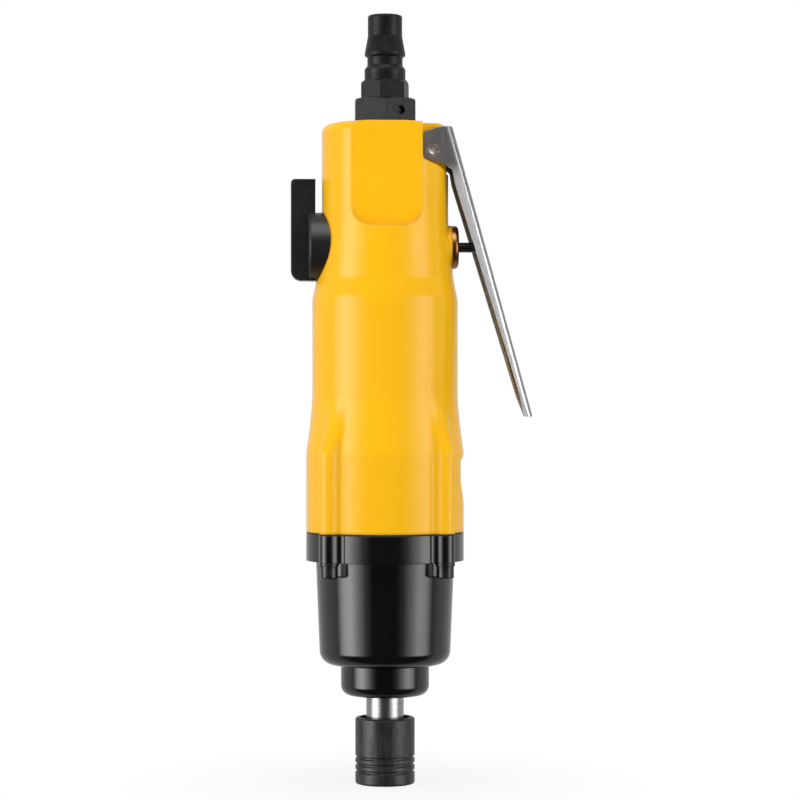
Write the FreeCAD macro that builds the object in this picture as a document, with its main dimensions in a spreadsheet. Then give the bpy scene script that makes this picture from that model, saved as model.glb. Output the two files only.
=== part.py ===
"""Straight impact air screwdriver: lever throttle, vane motor, twin hammers, quick-change bit sleeve.

Millimetres. The tool axis is Z, the bit goes in at the origin and the air comes in at the top.
The throttle lever is on the +X side and the reverse knob on the -X side.
"""
import FreeCAD, Part
import math
import os
import Sketcher

V = FreeCAD.Vector
DOWN_TO_UP = V(0, 0, 1)
doc = FreeCAD.newDocument("PneumaticScrewdriver")

# Driving sizes: word, millimetres (or degrees, or a count), meaning
SIZES = [
    ("base_rad", 25.2, "bulges of the lobed section"),
    ("sleeve_rad", 9.5, "bit sleeve, outside"),
    ("sleeve_len", 21.2, "bit sleeve, length"),
    ("sleeve_edge", 0.7, "rounding of the sleeve's ends"),
    ("sleeve_bore", 8.0, "spring chambers in the sleeve, radius"),
    ("sleeve_land_len", 6.0, "inner land that holds the lock balls in"),
    ("sleeve_groove", 0.45, "depth of the grip grooves"),
    ("groove_width", 1.1, "width of a grip groove"),
    ("groove_pitch", 2.2, "spacing of the grip grooves"),
    ("groove_first", 4.2, "front face to the first grip groove"),
    ("slide_fit", 0.08, "radial clearance of sliding fits"),
    ("spin_fit", 0.04, "radial clearance of turning fits"),
    ("shaft_show", 7.1, "bare shaft between sleeve and hammer case"),
    ("shaft_rad", 6.0, "output shaft, radius"),
    ("seal_room", 0.4, "clearance of the shaft in the case's lip"),
    ("bit_flats", 6.45, "hexagon bit socket across flats"),
    ("bit_depth", 28.0, "depth of the bit socket"),
    ("ball_rad", 1.5, "lock ball and detent ball"),
    ("ball_reach", 2.95, "how near the lock balls come to the axis"),
    ("ring_thick", 0.8, "snap ring thickness"),
    ("wire_rad", 0.45, "spring wire"),
    ("nose_rad", 14.1, "nose collar of the hammer case"),
    ("nose_len", 9.9, "nose collar, length"),
    ("nose_round", 3.2, "front edge rounding of the collar"),
    ("lip_thick", 1.0, "front lip that holds the nose seal"),
    ("seal_len", 2.2, "nose seal, length"),
    ("seal_rad", 9.0, "nose seal, outside radius"),
    ("bush_rad", 10.0, "shaft bushing, outside radius"),
    ("journal_rad", 7.5, "shaft journal in the bushing"),
    ("case_round", 4.4, "front corner rounding of the case"),
    ("case_body_len", 33.2, "case body, length"),
    ("case_floor_thick", 5.8, "front wall of the hammer room"),
    ("flange_thick", 9.0, "lobed flange"),
    ("gasket_thick", 0.4, "gasket in the joint"),
    ("gasket_inset", 0.3, "gasket edge inside the castings' edge"),
    ("base_len", 25.4, "lobed base of the housing"),
    ("flare_len", 17.6, "flare where the lobes run out into the barrel"),
    ("barrel_len", 31.1, "grip barrel, length"),
    ("shoulder_len", 6.6, "shoulder, length"),
    ("shoulder_round", 10.0, "rounding of the shoulder's corners"),
    ("neck_round", 60.0, "rounding between neck and head"),
    ("neck_len", 25.0, "barrel to head"),
    ("head_len", 31.0, "head, length"),
    ("head_round", 2.8, "top edge rounding"),
    ("screw_head_rad", 2.75, "case screw head"),
    ("screw_head_len", 3.9, "case screw head, length"),
    ("screw_key", 2.5, "case screw key across flats"),
    ("screw_rad", 1.5, "case screw shank"),
    ("screw_len", 20.0, "case screw shank, length"),
    ("washer_rad", 3.1, "spring washer"),
    ("washer_thick", 0.9, "spring washer, thickness"),
    ("spot_rad", 5.5, "spot face for the screws, radius"),
    ("spot_depth", 4.4, "spot face, height under the flange"),
    ("exhaust_flat", 3.8, "height of the recess's flat"),
    ("exhaust_ramp", 10.3, "height of the recess's ramp"),
    ("slot_height", 1.8, "exhaust slots"),
    ("pivot_drop", 8.7, "lever pin below the head's top"),
    ("pin_rad", 2.0, "lever pin"),
    ("pin_wall", 0.8, "lever pin, wall of the rolled sheet"),
    ("lug_half", 7.1, "half width of the lug in the lever"),
    ("lever_half", 9.0, "half width of the lever"),
    ("lever_sheet", 1.5, "lever sheet thickness"),
    ("lever_bend", 2.3, "outside bend of the lever"),
    ("valve_drop", 39.1, "valve axis below the head's top"),
    ("boss_rad", 7.0, "throttle valve boss"),
    ("cap_rad", 6.9, "brass valve cap"),
    ("cap_len", 2.2, "brass valve cap, length"),
    ("cap_round", 1.2, "brass valve cap, rounding"),
    ("valve_bore", 5.9, "throttle valve bore, radius"),
    ("valve_floor", 2.0, "inner end of the throttle bore"),
    ("stem_rad", 1.6, "throttle stem"),
    ("stem_gap", 0.12, "stem end to lever web"),
    ("poppet_rad", 4.4, "throttle poppet"),
    ("poppet_thick", 1.6, "throttle poppet, thickness"),
    ("knob_rad", 11.0, "reverse knob hub"),
    ("knob_gap", 0.3, "clearance round the knob"),
    ("grip_up", 21.5, "grip bar above the knob axis"),
    ("grip_down", 10.8, "grip bar below the knob axis"),
    ("grip_half", 4.0, "grip bar, half width"),
    ("grip_round", 3.4, "grip bar, rounding of its lower end"),
    ("spool_rad", 6.9, "reverse valve spool"),
    ("detent_place", 8.8, "detent ball, from the knob axis"),
    ("detent_depth", 6.0, "depth of the detent's spring hole"),
    ("knob_screw_rad", 2.0, "knob screw shank"),
    ("knob_screw_head", 3.2, "knob screw head"),
    ("bushing_flats", 19.0, "inlet bushing across flats"),
    ("bushing_hex_len", 8.2, "inlet bushing hexagon"),
    ("bushing_turn", 30.0, "inlet bushing, turn of its hexagon"),
    ("bushing_rad", 7.9, "inlet bushing, threaded end"),
    ("bushing_depth", 12.0, "inlet bushing, depth in the head"),
    ("bushing_dot", 1.45, "blind spanner hole in the bushing"),
    ("thread_rad", 6.1, "air plug thread"),
    ("thread_len", 11.6, "air plug thread, length"),
    ("plug_flats", 14.0, "air plug across flats"),
    ("plug_hex_len", 5.9, "air plug hexagon"),
    ("plug_turn", 17.0, "air plug, turn of its hexagon"),
    ("plug_collar", 6.55, "air plug collar"),
    ("plug_collar_len", 3.6, "air plug collar, length"),
    ("plug_groove", 5.65, "air plug groove"),
    ("plug_groove_len", 2.6, "air plug groove, length"),
    ("plug_nose", 5.5, "air plug nose"),
    ("plug_nose_len", 6.8, "air plug nose, length"),
    ("plug_bore", 3.75, "air plug bore"),
    ("motor_fit", 0.1, "clearance of the motor in the housing"),
    ("front_plate_len", 9.8, "front end plate"),
    ("cylinder_len", 43.0, "motor cylinder"),
    ("rear_plate_len", 8.5, "rear end plate"),
    ("rotor_gap", 0.5, "rotor to end plates"),
    ("vane_thick", 1.5, "vane"),
    ("vane_count", 6, "vanes"),
    ("axle_rad", 4.0, "rotor journals"),
    ("axle_room", 1.2, "clearance of the journals in the end plates"),
    ("bearing_rad", 11.0, "ball bearing, outside radius"),
    ("bearing_len", 7.0, "ball bearing, width"),
    ("bearing_wall", 2.0, "bearing rings, thickness"),
    ("bearing_balls", 7, "balls in a bearing"),
    ("cage_plate", 4.0, "hammer cage, front plate"),
    ("cage_end", 5.0, "hammer cage, rear plate"),
    ("cage_room", 21.0, "room between the cage's plates"),
    ("cage_strut", 6.0, "half width of a cage strut"),
    ("hammer_gap", 0.3, "clearance beside each hammer"),
    ("hammer_swing", 9.0, "swing that the far notch allows, degrees"),
    ("press_gap", 0.02, "clearance of pressed and screwed fits"),
    ("thrust_thick", 1.0, "thrust washer"),
    ("thrust_rad", 12.0, "thrust washer, radius"),
    ("flat_len", 33.2, "flats on the head, from the top down"),
    ("flat_round", 7.0, "rounded lower corners of a flat"),
    ("ear_back", 3.0, "lever ear behind the pin"),
    ("ear_up", 6.0, "lever ear above the pin, inner end"),
    ("ear_top", 7.6, "lever ear above the pin, outer end"),
    ("ear_mid", 3.1, "bend of the ear's top, out from the pin"),
    ("ear_out", 6.3, "lever's top corner, out from the pin"),
    ("ear_down", 2.7, "lever ear below the pin, inner end"),
    ("ear_heel", 4.2, "lever ear below the pin, middle"),
    ("ear_toe", 6.0, "lever ear below the pin, outer end"),
    ("channel_down", 10.2, "start of the lever's plain channel, below the pin"),
    ("tip_out", 31.9, "lever tip, out from the pin"),
    ("tip_down", 84.6, "lever tip, below the pin"),
    ("channel_deep", 4.3, "lever's side walls at the top"),
    ("channel_tip", 2.3, "lever's side walls where the tip starts"),
    ("tip_run", 7.0, "length of the lever's pointed tip"),
    ("ear_gap", 0.6, "clearance of the ears in their pockets"),
    ("swing_room", 1.5, "more room under the ears' outer end"),
    ("passage_rad", 3.5, "air passage to the throttle"),
    ("port_rad", 2.2, "air passages to the motor"),
    ("port_out", 9.0, "air passages to the motor, from the axis"),
    ("plug_ridge", 6.5, "air plug locking ridge"),
    ("plug_ridge_len", 0.8, "air plug locking ridge, length"),
    ("plug_cone_len", 5.4, "air plug cone"),
    ("plug_shank", 6.2, "air plug core through its hexagon"),
    ("hex_chamfer", 1.1, "chamfer of the hexagons"),
    ("screen_thick", 0.6, "inlet screen"),
    ("inlet_bore", 4.2, "bushing bore under the screen"),
    ("inlet_seal_thick", 1.0, "seal under the bushing"),
    ("inlet_seal_rad", 9.3, "seal under the bushing, radius"),
    ("dowel_rad", 1.0, "motor dowel pin"),
    ("dowel_grip", 4.0, "dowel pin in each end plate"),
    ("ring_first", 0.8, "front snap ring, from the shaft end"),
    ("ring_groove", 5.4, "bottom of the snap ring grooves"),
    ("ring_rad", 7.5, "snap rings, outside"),
    ("rear_room", 6.2, "depth of the sleeve's rear chamber"),
    ("seat_thick", 0.6, "throttle seat seal"),
    ("screw_tip", 6.0, "knob screw, depth in the spool"),
    ("end_gap", 0.3, "clearance at the ends of shafts and plates"),
    ("recess_drop", 0.3, "exhaust recess below the lobed base's top"),
    ("recess_slope", 2.8, "height of the recess's upper slope"),
    ("groove_slope", 1.2, "height of the slope into the plug's groove"),
    ("ridge_slope", 0.6, "height of the slope out of the plug's groove"),
    ("dot_depth", 1.4, "depth of the blind spanner hole"),
    ("pivot_inset", 5.3, "lever pin, in from the head's outline"),
    ("lug_inset", 0.9, "lug's face, in from the head's outline"),
    ("boss_show", 1.0, "face of the valve boss, out from the head"),
    ("hub_show", 8.2, "face of the knob's hub, out from its seat"),
    ("grip_show", 5.9, "grip bar, out from the hub's face"),
    ("grip_lap", 1.9, "grip bar, in from the hub's face"),
    ("motor_wall", 5.0, "lobed base outside the motor"),
]

sheet = doc.addObject("Spreadsheet::Sheet", "Dims")
for row, (word, number, meaning) in enumerate(SIZES, start=1):
    sheet.set(f"A{row}", meaning)
    sheet.set(f"B{row}", str(number))
    sheet.setAlias(f"B{row}", word)
doc.recompute()


class Size:
    """A size as the sheet gives it: its number now, and the formula that ties it to the sheet."""

    def __init__(self, number, formula):
        self.number = float(number)
        self.formula = formula

    def __add__(self, other):
        other = as_size(other)
        return Size(self.number + other.number, f"({self.formula} + {other.formula})")

    def __sub__(self, other):
        other = as_size(other)
        return Size(self.number - other.number, f"({self.formula} - {other.formula})")

    def __mul__(self, other):
        other = as_size(other)
        return Size(self.number * other.number, f"({self.formula} * {other.formula})")

    def __truediv__(self, other):
        other = as_size(other)
        return Size(self.number / other.number, f"({self.formula} / {other.formula})")

    def __rsub__(self, other):
        return as_size(other) - self

    def __neg__(self):
        return Size(-self.number, f"(0 - {self.formula})")

    __radd__ = __add__
    __rmul__ = __mul__


def as_size(value):
    """A plain number as a Size; a Size stays as it is."""
    if isinstance(value, Size):
        return value
    return Size(value, f"({float(value)!r})")


class Dimensions:
    """The sheet's cells by their words."""

    def __getattr__(self, word):
        return Size(sheet.get(word), f"Dims.{word}")


dim = Dimensions()
ZERO = Size(0, "0")

# Sizes that follow from others, so that the castings and what is in them keep their proportions
dim.case_low_rad = dim.base_rad * 0.8234  # hammer case at its front corner
dim.case_high_rad = dim.base_rad * 0.877  # hammer case under the flange
dim.case_bore = dim.base_rad * 0.75  # room for the hammers, radius
dim.bulge_half = dim.base_rad * 0.5278  # half width of a bulge
dim.lobe_place = dim.base_rad * 0.7222  # screw centres, from both middle planes
dim.lobe_rad = dim.base_rad * 0.123  # corner lobe round each screw
dim.valley_rad = dim.base_rad * 0.0853  # hollow between bulge and lobe
dim.mid_rad = dim.base_rad * 0.9524  # bulges half way up the flare
dim.mid_lobe_place = dim.base_rad * 0.5516  # lobe centres half way up the flare
dim.mid_lobe_rad = dim.base_rad * 0.2302  # lobes half way up the flare
dim.mid_valley_rad = dim.base_rad * 0.1984  # hollows half way up the flare
dim.barrel_rad = dim.base_rad * 0.9226  # grip barrel
dim.shoulder_rad = dim.base_rad * 0.869  # neck under the shoulder
dim.head_rad = dim.base_rad * 0.8016  # head
dim.flat_place = dim.head_rad * 0.8317  # flats front and back on the head
dim.flat_half = dim.head_rad * 0.5545  # half width of a flat
dim.exhaust_half = dim.base_rad * 0.3413  # half width of the exhaust recess
dim.exhaust_face = dim.base_rad * 0.9246  # bottom of the exhaust recess
dim.slot_half = dim.exhaust_half * 0.6977  # exhaust slots, half width
dim.pivot_out = dim.head_rad - dim.pivot_inset  # lever pin, from the tool axis
dim.lug_face = dim.head_rad - dim.lug_inset  # outer face of the lug
dim.boss_face = dim.head_rad + dim.boss_show  # face of the boss
dim.plug_depth = dim.boss_face * 0.4057  # cap shank in the bore
dim.knob_seat = dim.head_rad * 0.7921  # bottom of the knob's seat
dim.knob_face = dim.knob_seat + dim.hub_show  # hub face, from the tool axis
dim.grip_out = dim.knob_face + dim.grip_show  # grip bar, outer face
dim.grip_in = dim.knob_face - dim.grip_lap  # grip bar, inner face
dim.spool_len = dim.knob_seat * 0.8125  # reverse valve spool, length
dim.motor_rad = dim.base_rad - dim.motor_wall  # motor cylinder and end plates
dim.cylinder_bore = dim.motor_rad * 0.802  # motor cylinder bore
dim.bore_shift = dim.motor_rad * 0.0792  # bore off the rotor axis
dim.rotor_rad = dim.motor_rad * 0.7178  # rotor
dim.vane_depth = dim.rotor_rad * 0.4759  # vane
dim.cage_rad = dim.case_bore * 0.9524  # hammer cage
dim.hammer_rad = dim.cage_rad * 0.8333  # ring hammer, outside
dim.hammer_bore = dim.cage_rad * 0.5667  # ring hammer, inside
dim.hammer_pin_place = dim.cage_rad * 0.8222  # hammer pins, from the axis
dim.hammer_pin_rad = dim.cage_rad * 0.1389  # hammer pins
dim.jaw_rad = dim.cage_rad * 0.5278  # anvil jaws
dim.jaw_half = dim.cage_rad * 0.1778  # half width of an anvil jaw
dim.core_rad = dim.cage_rad * 0.3611  # anvil between the jaws
dim.dowel_out = dim.motor_rad * 0.8713  # motor dowel pin, from the axis

kept = []


def keep(piece, label):
    """Names a finished piece and counts it in."""
    piece.Label = label
    kept.append(piece)
    return piece


def bind(thing, prop, size):
    """Ties one property of an object to the sheet."""
    size = as_size(size)
    thing.setExpression(prop, size.formula)


def put(thing, x=ZERO, y=ZERO, z=ZERO, turn=None):
    """Places an object at sheet-driven coordinates, turned first if a rotation is given."""
    x, y, z = as_size(x), as_size(y), as_size(z)
    rotation = turn if turn else FreeCAD.Rotation()
    thing.Placement = FreeCAD.Placement(V(x.number, y.number, z.number), rotation)
    for axis, size in (("x", x), ("y", y), ("z", z)):
        bind(thing, f"Placement.Base.{axis}", size)
    return thing


def origin_plane(body, role):
    for feature in body.Origin.OriginFeatures:
        if feature.Role == role:
            return feature
    raise RuntimeError(f"no plane {role}")


def new_sketch(body, name, role):
    sketch = body.newObject("Sketcher::SketchObject", name)
    sketch.AttachmentSupport = [(origin_plane(body, role), "")]
    sketch.MapMode = "FlatFace"
    return sketch


def unit(vector):
    return V(vector).normalize()


def draw_outline(sketch, corners):
    """A closed outline with straight sides; a corner with a third value is rounded to that radius."""
    count = len(corners)
    places = [V(as_size(c[0]).number, as_size(c[1]).number, 0) for c in corners]
    rounds = [as_size(c[2]) if len(c) > 2 else None for c in corners]
    arrive, leave, arcs = [], [], []
    for index, place in enumerate(places):
        if rounds[index] is None:
            arrive.append(place)
            leave.append(place)
            arcs.append(None)
            continue
        before = unit(places[index - 1] - place)
        after = unit(places[(index + 1) % count] - place)
        half_angle = before.getAngle(after) / 2
        radius = rounds[index].number
        arrive.append(place + before * (radius / math.tan(half_angle)))
        leave.append(place + after * (radius / math.tan(half_angle)))
        centre = place + unit(before + after) * (radius / math.sin(half_angle))
        turns_left = (after.cross(before)).z > 0
        first, last = (arrive[-1], leave[-1]) if turns_left else (leave[-1], arrive[-1])
        angles = [math.atan2(p.y - centre.y, p.x - centre.x) for p in (first, last)]
        arcs.append((Part.ArcOfCircle(Part.Circle(centre, DOWN_TO_UP, radius), *angles), turns_left))
    rules, bound = [], []

    def rule(*words):
        rules.append(Sketcher.Constraint(*words))
        return len(rules) - 1

    for index in range(count):
        sketch.addGeometry(Part.LineSegment(leave[index], arrive[(index + 1) % count]), False)
    for index in range(count):
        line_before, line_after = (index - 1) % count, index
        x, y = as_size(corners[index][0]), as_size(corners[index][1])
        if arcs[index] is None:
            rule("Coincident", line_before, 2, line_after, 1)
            fixed = (line_after, 1)
        else:
            arc, turns_left = arcs[index]
            arc_id = sketch.addGeometry(arc, False)
            point_id = sketch.addGeometry(Part.Point(places[index]), True)
            start, end = (1, 2) if turns_left else (2, 1)
            rule("Tangent", line_before, 2, arc_id, start)
            rule("Tangent", line_after, 1, arc_id, end)
            rule("PointOnObject", point_id, 1, line_before)
            rule("PointOnObject", point_id, 1, line_after)
            bound.append((rule("Radius", arc_id, rounds[index].number), f"r{index}", rounds[index]))
            fixed = (point_id, 1)
        bound.append((rule("DistanceX", *fixed, x.number), f"x{index}", x))
        bound.append((rule("DistanceY", *fixed, y.number), f"y{index}", y))
    sketch.addConstraint(rules)
    for number, name, size in bound:
        sketch.renameConstraint(number, name)
        bind(sketch, f"Constraints.{name}", size)


def turned(name, corners, about="Z"):
    """A body turned on the Z axis from corners (radius, height), or on the X axis from (x, radius)."""
    body = doc.addObject("PartDesign::Body", name)
    sketch = new_sketch(body, name + "_profile", "XZ_Plane")
    draw_outline(sketch, corners)
    turning = body.newObject("PartDesign::Revolution", name + "_turning")
    turning.Profile = sketch
    turning.ReferenceAxis = (sketch, ["V_Axis" if about == "Z" else "H_Axis"])
    turning.Angle = 360
    return body


def ring(name, inner, outer, low, high):
    """A plain ring on the tool axis."""
    return turned(name, [(inner, low), (outer, low), (outer, high), (inner, high)])


def prism(name, corners, low, high):
    """An outline drawn in plan, standing from one height to another."""
    low, high = as_size(low), as_size(high)
    body = doc.addObject("PartDesign::Body", name)
    sketch = new_sketch(body, name + "_plan", "XY_Plane")
    draw_outline(sketch, corners)
    pad = body.newObject("PartDesign::Pad", name + "_pad")
    pad.Profile = sketch
    bind(pad, "Length", high - low)
    return put(body, z=low)


def slab(name, corners, half_width):
    """A side view (x, z) given a width, half of it each way from the middle plane."""
    body = doc.addObject("PartDesign::Body", name)
    sketch = new_sketch(body, name + "_side", "XZ_Plane")
    draw_outline(sketch, corners)
    pad = body.newObject("PartDesign::Pad", name + "_pad")
    pad.Profile = sketch
    pad.SideType = "Symmetric"
    bind(pad, "Length", half_width * 2)
    return body


TURNS = {"Z": FreeCAD.Rotation(),
         "X": FreeCAD.Rotation(V(0, 1, 0), 90),
         "Y": FreeCAD.Rotation(V(1, 0, 0), -90)}


def rod(name, radius, start, end, along="Z", x=ZERO, y=ZERO, z=ZERO):
    """A round bar between two places along an axis; the other two coordinates are its centre."""
    start, end = as_size(start), as_size(end)
    bar = doc.addObject("Part::Cylinder", name)
    bind(bar, "Radius", radius)
    bind(bar, "Height", end - start)
    place = {"x": x, "y": y, "z": z}
    place[along.lower()] = start
    return put(bar, turn=TURNS[along], **place)


def block(name, low, high):
    """A box between two corners."""
    box = doc.addObject("Part::Box", name)
    for prop, first, last in zip(("Length", "Width", "Height"), low, high):
        bind(box, prop, as_size(last) - first)
    return put(box, *low)


def ball(name, radius, x=ZERO, y=ZERO, z=ZERO):
    sphere = doc.addObject("Part::Sphere", name)
    bind(sphere, "Radius", radius)
    return put(sphere, x, y, z)


def joined(name, pieces):
    fused = doc.addObject("Part::MultiFuse", name)
    fused.Shapes = pieces
    fused.Refine = True
    return fused


def less(name, base, *tools):
    """A base with one or more tools cut away."""
    for number, tool in enumerate(tools, start=1):
        last = number == len(tools)
        cut = doc.addObject("Part::Cut", name if last else f"{name}_{number}")
        cut.Base = base
        cut.Tool = tool
        base = cut
    return base


def common(name, first, second):
    shared = doc.addObject("Part::Common", name)
    shared.Base = first
    shared.Tool = second
    return shared


def group(name, pieces):
    """Several loose solids that share one node."""
    bundle = doc.addObject("Part::Compound", name)
    bundle.Links = pieces
    return bundle


def hexagon(name, flats, low, high, turn):
    """A hexagonal bar on the tool axis, its flats a given distance apart."""
    corners = []
    for corner in range(6):
        angle = math.radians(turn.number + 60 * corner)
        reach = flats / (2 * math.cos(math.radians(30)))
        corners.append((reach * math.cos(angle), reach * math.sin(angle)))
    return prism(name, corners, low, high)


def coil(name, radius, wire, low, high, turns):
    """A spring on the Z axis with its ends inside two heights; it gets its place after.

    Its wire has six sides, which keeps the long thin surface light.
    """
    travel = (high - low).number - 2 * wire.number
    helix = Part.makeHelix(travel / turns, travel, radius.number)
    helix.translate(V(0, 0, wire.number))
    corners = []
    for corner in range(6):
        angle = math.radians(60 * corner)
        out = radius.number + wire.number * math.cos(angle)
        up = wire.number * (1 + math.sin(angle))
        corners.append(V(out, 0, up))
    section = Part.makePolygon(corners + corners[:1])
    feature = doc.addObject("Part::Feature", name)
    feature.Shape = Part.Wire(helix.Edges).makePipeShell([section], True, True)
    return feature


# Heights along the tool, from the bit end up
case_front = dim.sleeve_len + dim.shaft_show
case_floor = case_front + dim.nose_len
flange_low = case_floor + dim.case_body_len
joint_plane = flange_low + dim.flange_thick
case_top = joint_plane - dim.gasket_thick / 2
housing_low = joint_plane + dim.gasket_thick / 2
base_top = joint_plane + dim.base_len
barrel_low = base_top + dim.flare_len
barrel_top = barrel_low + dim.barrel_len
neck_low = barrel_top + dim.shoulder_len
head_low = barrel_top + dim.neck_len
head_top = head_low + dim.head_len
valve_height = head_top - dim.valve_drop
pivot_height = head_top - dim.pivot_drop


def section_sizes(inset=ZERO):
    """The castings' section: bulge, half its width, lobe centre, lobe and hollow."""
    return (dim.base_rad - inset, dim.bulge_half, dim.lobe_place, dim.lobe_rad - inset,
            dim.valley_rad + inset)


def arc_between(middle, radius, first, last):
    angles = [math.atan2(p.y - middle.y, p.x - middle.x) for p in (first, last)]
    return Part.ArcOfCircle(Part.Circle(middle, DOWN_TO_UP, radius), *angles)


def quarters():
    """The four quarters of a section: its first arc, its rotation and the axis across its bulge."""
    for quarter in range(4):
        across = "Y" if quarter in (0, 2) else "X"
        yield 4 * quarter, FreeCAD.Rotation(DOWN_TO_UP, 90 * quarter), across


def constrain(sketch, rules, bound):
    """Adds the rules, then ties the named ones to the sheet."""
    sketch.addConstraint(rules)
    for number, word, size in bound:
        sketch.renameConstraint(number, word)
        bind(sketch, f"Constraints.{word}", size)


def draw_lobes(sketch, sizes):
    """Sixteen arcs: a bulge on each side of the axis, a round lobe at each corner, hollows between."""
    bulge, half, place, lobe_rad, hollow = [size.number for size in sizes]
    lobe = V(place, place, 0)
    edge = V(math.sqrt(bulge ** 2 - half ** 2), half, 0)
    span = lobe - edge
    reach = lobe_rad + hollow
    along = (hollow ** 2 - reach ** 2 + span.Length ** 2) / (2 * span.Length)
    outward = V(span.y, -span.x, 0).normalize()
    centre = edge + unit(span) * along + outward * math.sqrt(hollow ** 2 - along ** 2)
    touch = lobe + unit(centre - lobe) * lobe_rad
    arcs, rules, bound = [], [], []

    def rule(*words):
        rules.append(Sketcher.Constraint(*words))
        return len(rules) - 1

    for first, spin, across in quarters():
        below = spin.multVec(V(edge.x, -edge.y, 0))
        near = [spin.multVec(p) for p in (edge, centre, touch)]
        far = [spin.multVec(V(p.y, p.x, 0)) for p in (edge, centre, touch)]
        arcs.append(arc_between(V(), bulge, below, near[0]))
        arcs.append(arc_between(near[1], hollow, near[2], near[0]))
        arcs.append(arc_between(spin.multVec(lobe), lobe_rad, near[2], far[2]))
        arcs.append(arc_between(far[1], hollow, far[0], far[2]))
        rule("Coincident", first, 3, -1, 1)
        rule("Coincident", first, 2, first + 1, 2)
        rule("Tangent", first + 1, 1, first + 2, 1)
        rule("Tangent", first + 2, 2, first + 3, 2)
        rule("Coincident", first + 3, 1, (first + 4) % 16, 1)
        for number, size in enumerate((sizes[0], sizes[4], sizes[3], sizes[4])):
            bound.append((rule("Radius", first + number, size.number), f"radius{first + number}", size))
        corner = spin.multVec(V(1, 1, 0))
        for axis, sign in (("X", round(corner.x)), ("Y", round(corner.y))):
            size = sizes[2] * sign
            bound.append((rule("Distance" + axis, first + 2, 3, size.number), f"lobe{axis}{first}", size))
        for end, sign in ((1, -1), (2, 1)):
            size = sizes[1] * (sign * (1 if first in (0, 12) else -1))
            bound.append((rule("Distance" + across, first, end, size.number), f"bulge{first}_{end}", size))
    sketch.addGeometry(arcs, False)
    constrain(sketch, rules, bound)


def draw_round(sketch, radius, half):
    """A circle in sixteen arcs that start and end about where those of the lobed section do."""
    wide = half * 1.09
    near = V(math.sqrt(radius.number ** 2 - half.number ** 2), half.number, 0)
    far = V(math.sqrt(radius.number ** 2 - wide.number ** 2), wide.number, 0)
    arcs, rules, bound = [], [], []

    def rule(*words):
        rules.append(Sketcher.Constraint(*words))
        return len(rules) - 1

    for first, spin, across in quarters():
        along = "X" if across == "Y" else "Y"
        corners = (V(near.x, -near.y, 0), near, far, V(far.y, far.x, 0), V(near.y, near.x, 0))
        places = [spin.multVec(corner) for corner in corners]
        fixed = ((across, half), (across, half), (across, wide), (along, wide))
        for number, (axis, size) in enumerate(fixed):
            arc = first + number
            here = places[number]
            arcs.append(arc_between(V(), radius.number, here, places[number + 1]))
            if arc < 15:
                rule("Coincident", arc, 3, -1, 1)
            if arc in (0, 15):
                bound.append((rule("Radius", arc, radius.number), f"radius{arc}", radius))
            rule("Coincident", arc, 2, (arc + 1) % 16, 1)
            side = size * (1 if (here.x if axis == "X" else here.y) > 0 else -1)
            bound.append((rule("Distance" + axis, arc, 1, side.number), f"joint{arc}", side))
    sketch.addGeometry(arcs, False)
    constrain(sketch, rules, bound)


def lobed(name, low, high, inset=ZERO):
    """A pad of the castings' lobed section."""
    body = doc.addObject("PartDesign::Body", name)
    sketch = new_sketch(body, name + "_section", "XY_Plane")
    draw_lobes(sketch, section_sizes(inset))
    pad = body.newObject("PartDesign::Pad", name + "_pad")
    pad.Profile = sketch
    bind(pad, "Length", high - low)
    return put(body, z=low)


def flare(name, low, high):
    """The lobed section below runs out into the round barrel above, through a softer one half way."""
    body = doc.addObject("PartDesign::Body", name)
    bottom = new_sketch(body, name + "_low", "XY_Plane")
    middle = new_sketch(body, name + "_middle", "XY_Plane")
    top = new_sketch(body, name + "_high", "XY_Plane")
    draw_lobes(bottom, section_sizes())
    draw_lobes(middle, (dim.mid_rad, dim.bulge_half, dim.mid_lobe_place, dim.mid_lobe_rad,
                        dim.mid_valley_rad))
    draw_round(top, dim.barrel_rad, dim.bulge_half)
    bind(middle, "AttachmentOffset.Base.z", (high - low) / 2)
    bind(top, "AttachmentOffset.Base.z", high - low)
    skin = body.newObject("PartDesign::AdditiveLoft", name + "_loft")
    skin.Profile = bottom
    skin.Sections = [middle, top]
    skin.Ruled = False
    return put(body, z=low)


def at_lobes(name, make):
    """One piece at each of the four screw places."""
    pieces = []
    for sign_x in (1, -1):
        for sign_y in (1, -1):
            tag = ("r" if sign_x > 0 else "l") + ("b" if sign_y > 0 else "f")
            pieces.append(make(f"{name}_{tag}", dim.lobe_place * sign_x, dim.lobe_place * sign_y))
    return pieces


# Hammer case: turned body with a nose, a lobed flange on top and four spot faces for the screws
room_low = case_floor + dim.case_floor_thick
seal_low = case_front + dim.lip_thick
seal_high = seal_low + dim.seal_len
case_turned = turned("case_turned", [
    (dim.shaft_rad + dim.seal_room, case_front),
    (dim.nose_rad, case_front, dim.nose_round),
    (dim.nose_rad, case_floor),
    (dim.case_low_rad, case_floor, dim.case_round),
    (dim.case_high_rad, flange_low),
    (dim.case_high_rad, case_top),
    (dim.case_bore, case_top),
    (dim.case_bore, room_low),
    (dim.bush_rad, room_low),
    (dim.bush_rad, seal_high),
    (dim.seal_rad, seal_high),
    (dim.seal_rad, seal_low),
    (dim.shaft_rad + dim.seal_room, seal_low),
])
flange = less("case_flange", lobed("case_flange_pad", flange_low, case_top),
              rod("case_flange_bore", (dim.case_high_rad + dim.case_bore) / 2, flange_low - 1, case_top + 1))
case_solid = joined("case_solid", [case_turned, flange])
spot_low = flange_low - dim.spot_depth
spots = at_lobes("spot", lambda name, x, y: rod(name, dim.spot_rad, spot_low, flange_low, x=x, y=y))
through = at_lobes("case_hole", lambda name, x, y: rod(name, dim.screw_rad + dim.slide_fit,
                                                      flange_low - 1, case_top + 1, x=x, y=y))
keep(less("HammerCase", case_solid, joined("case_cutters", spots + through)), "hammer_case")

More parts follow.
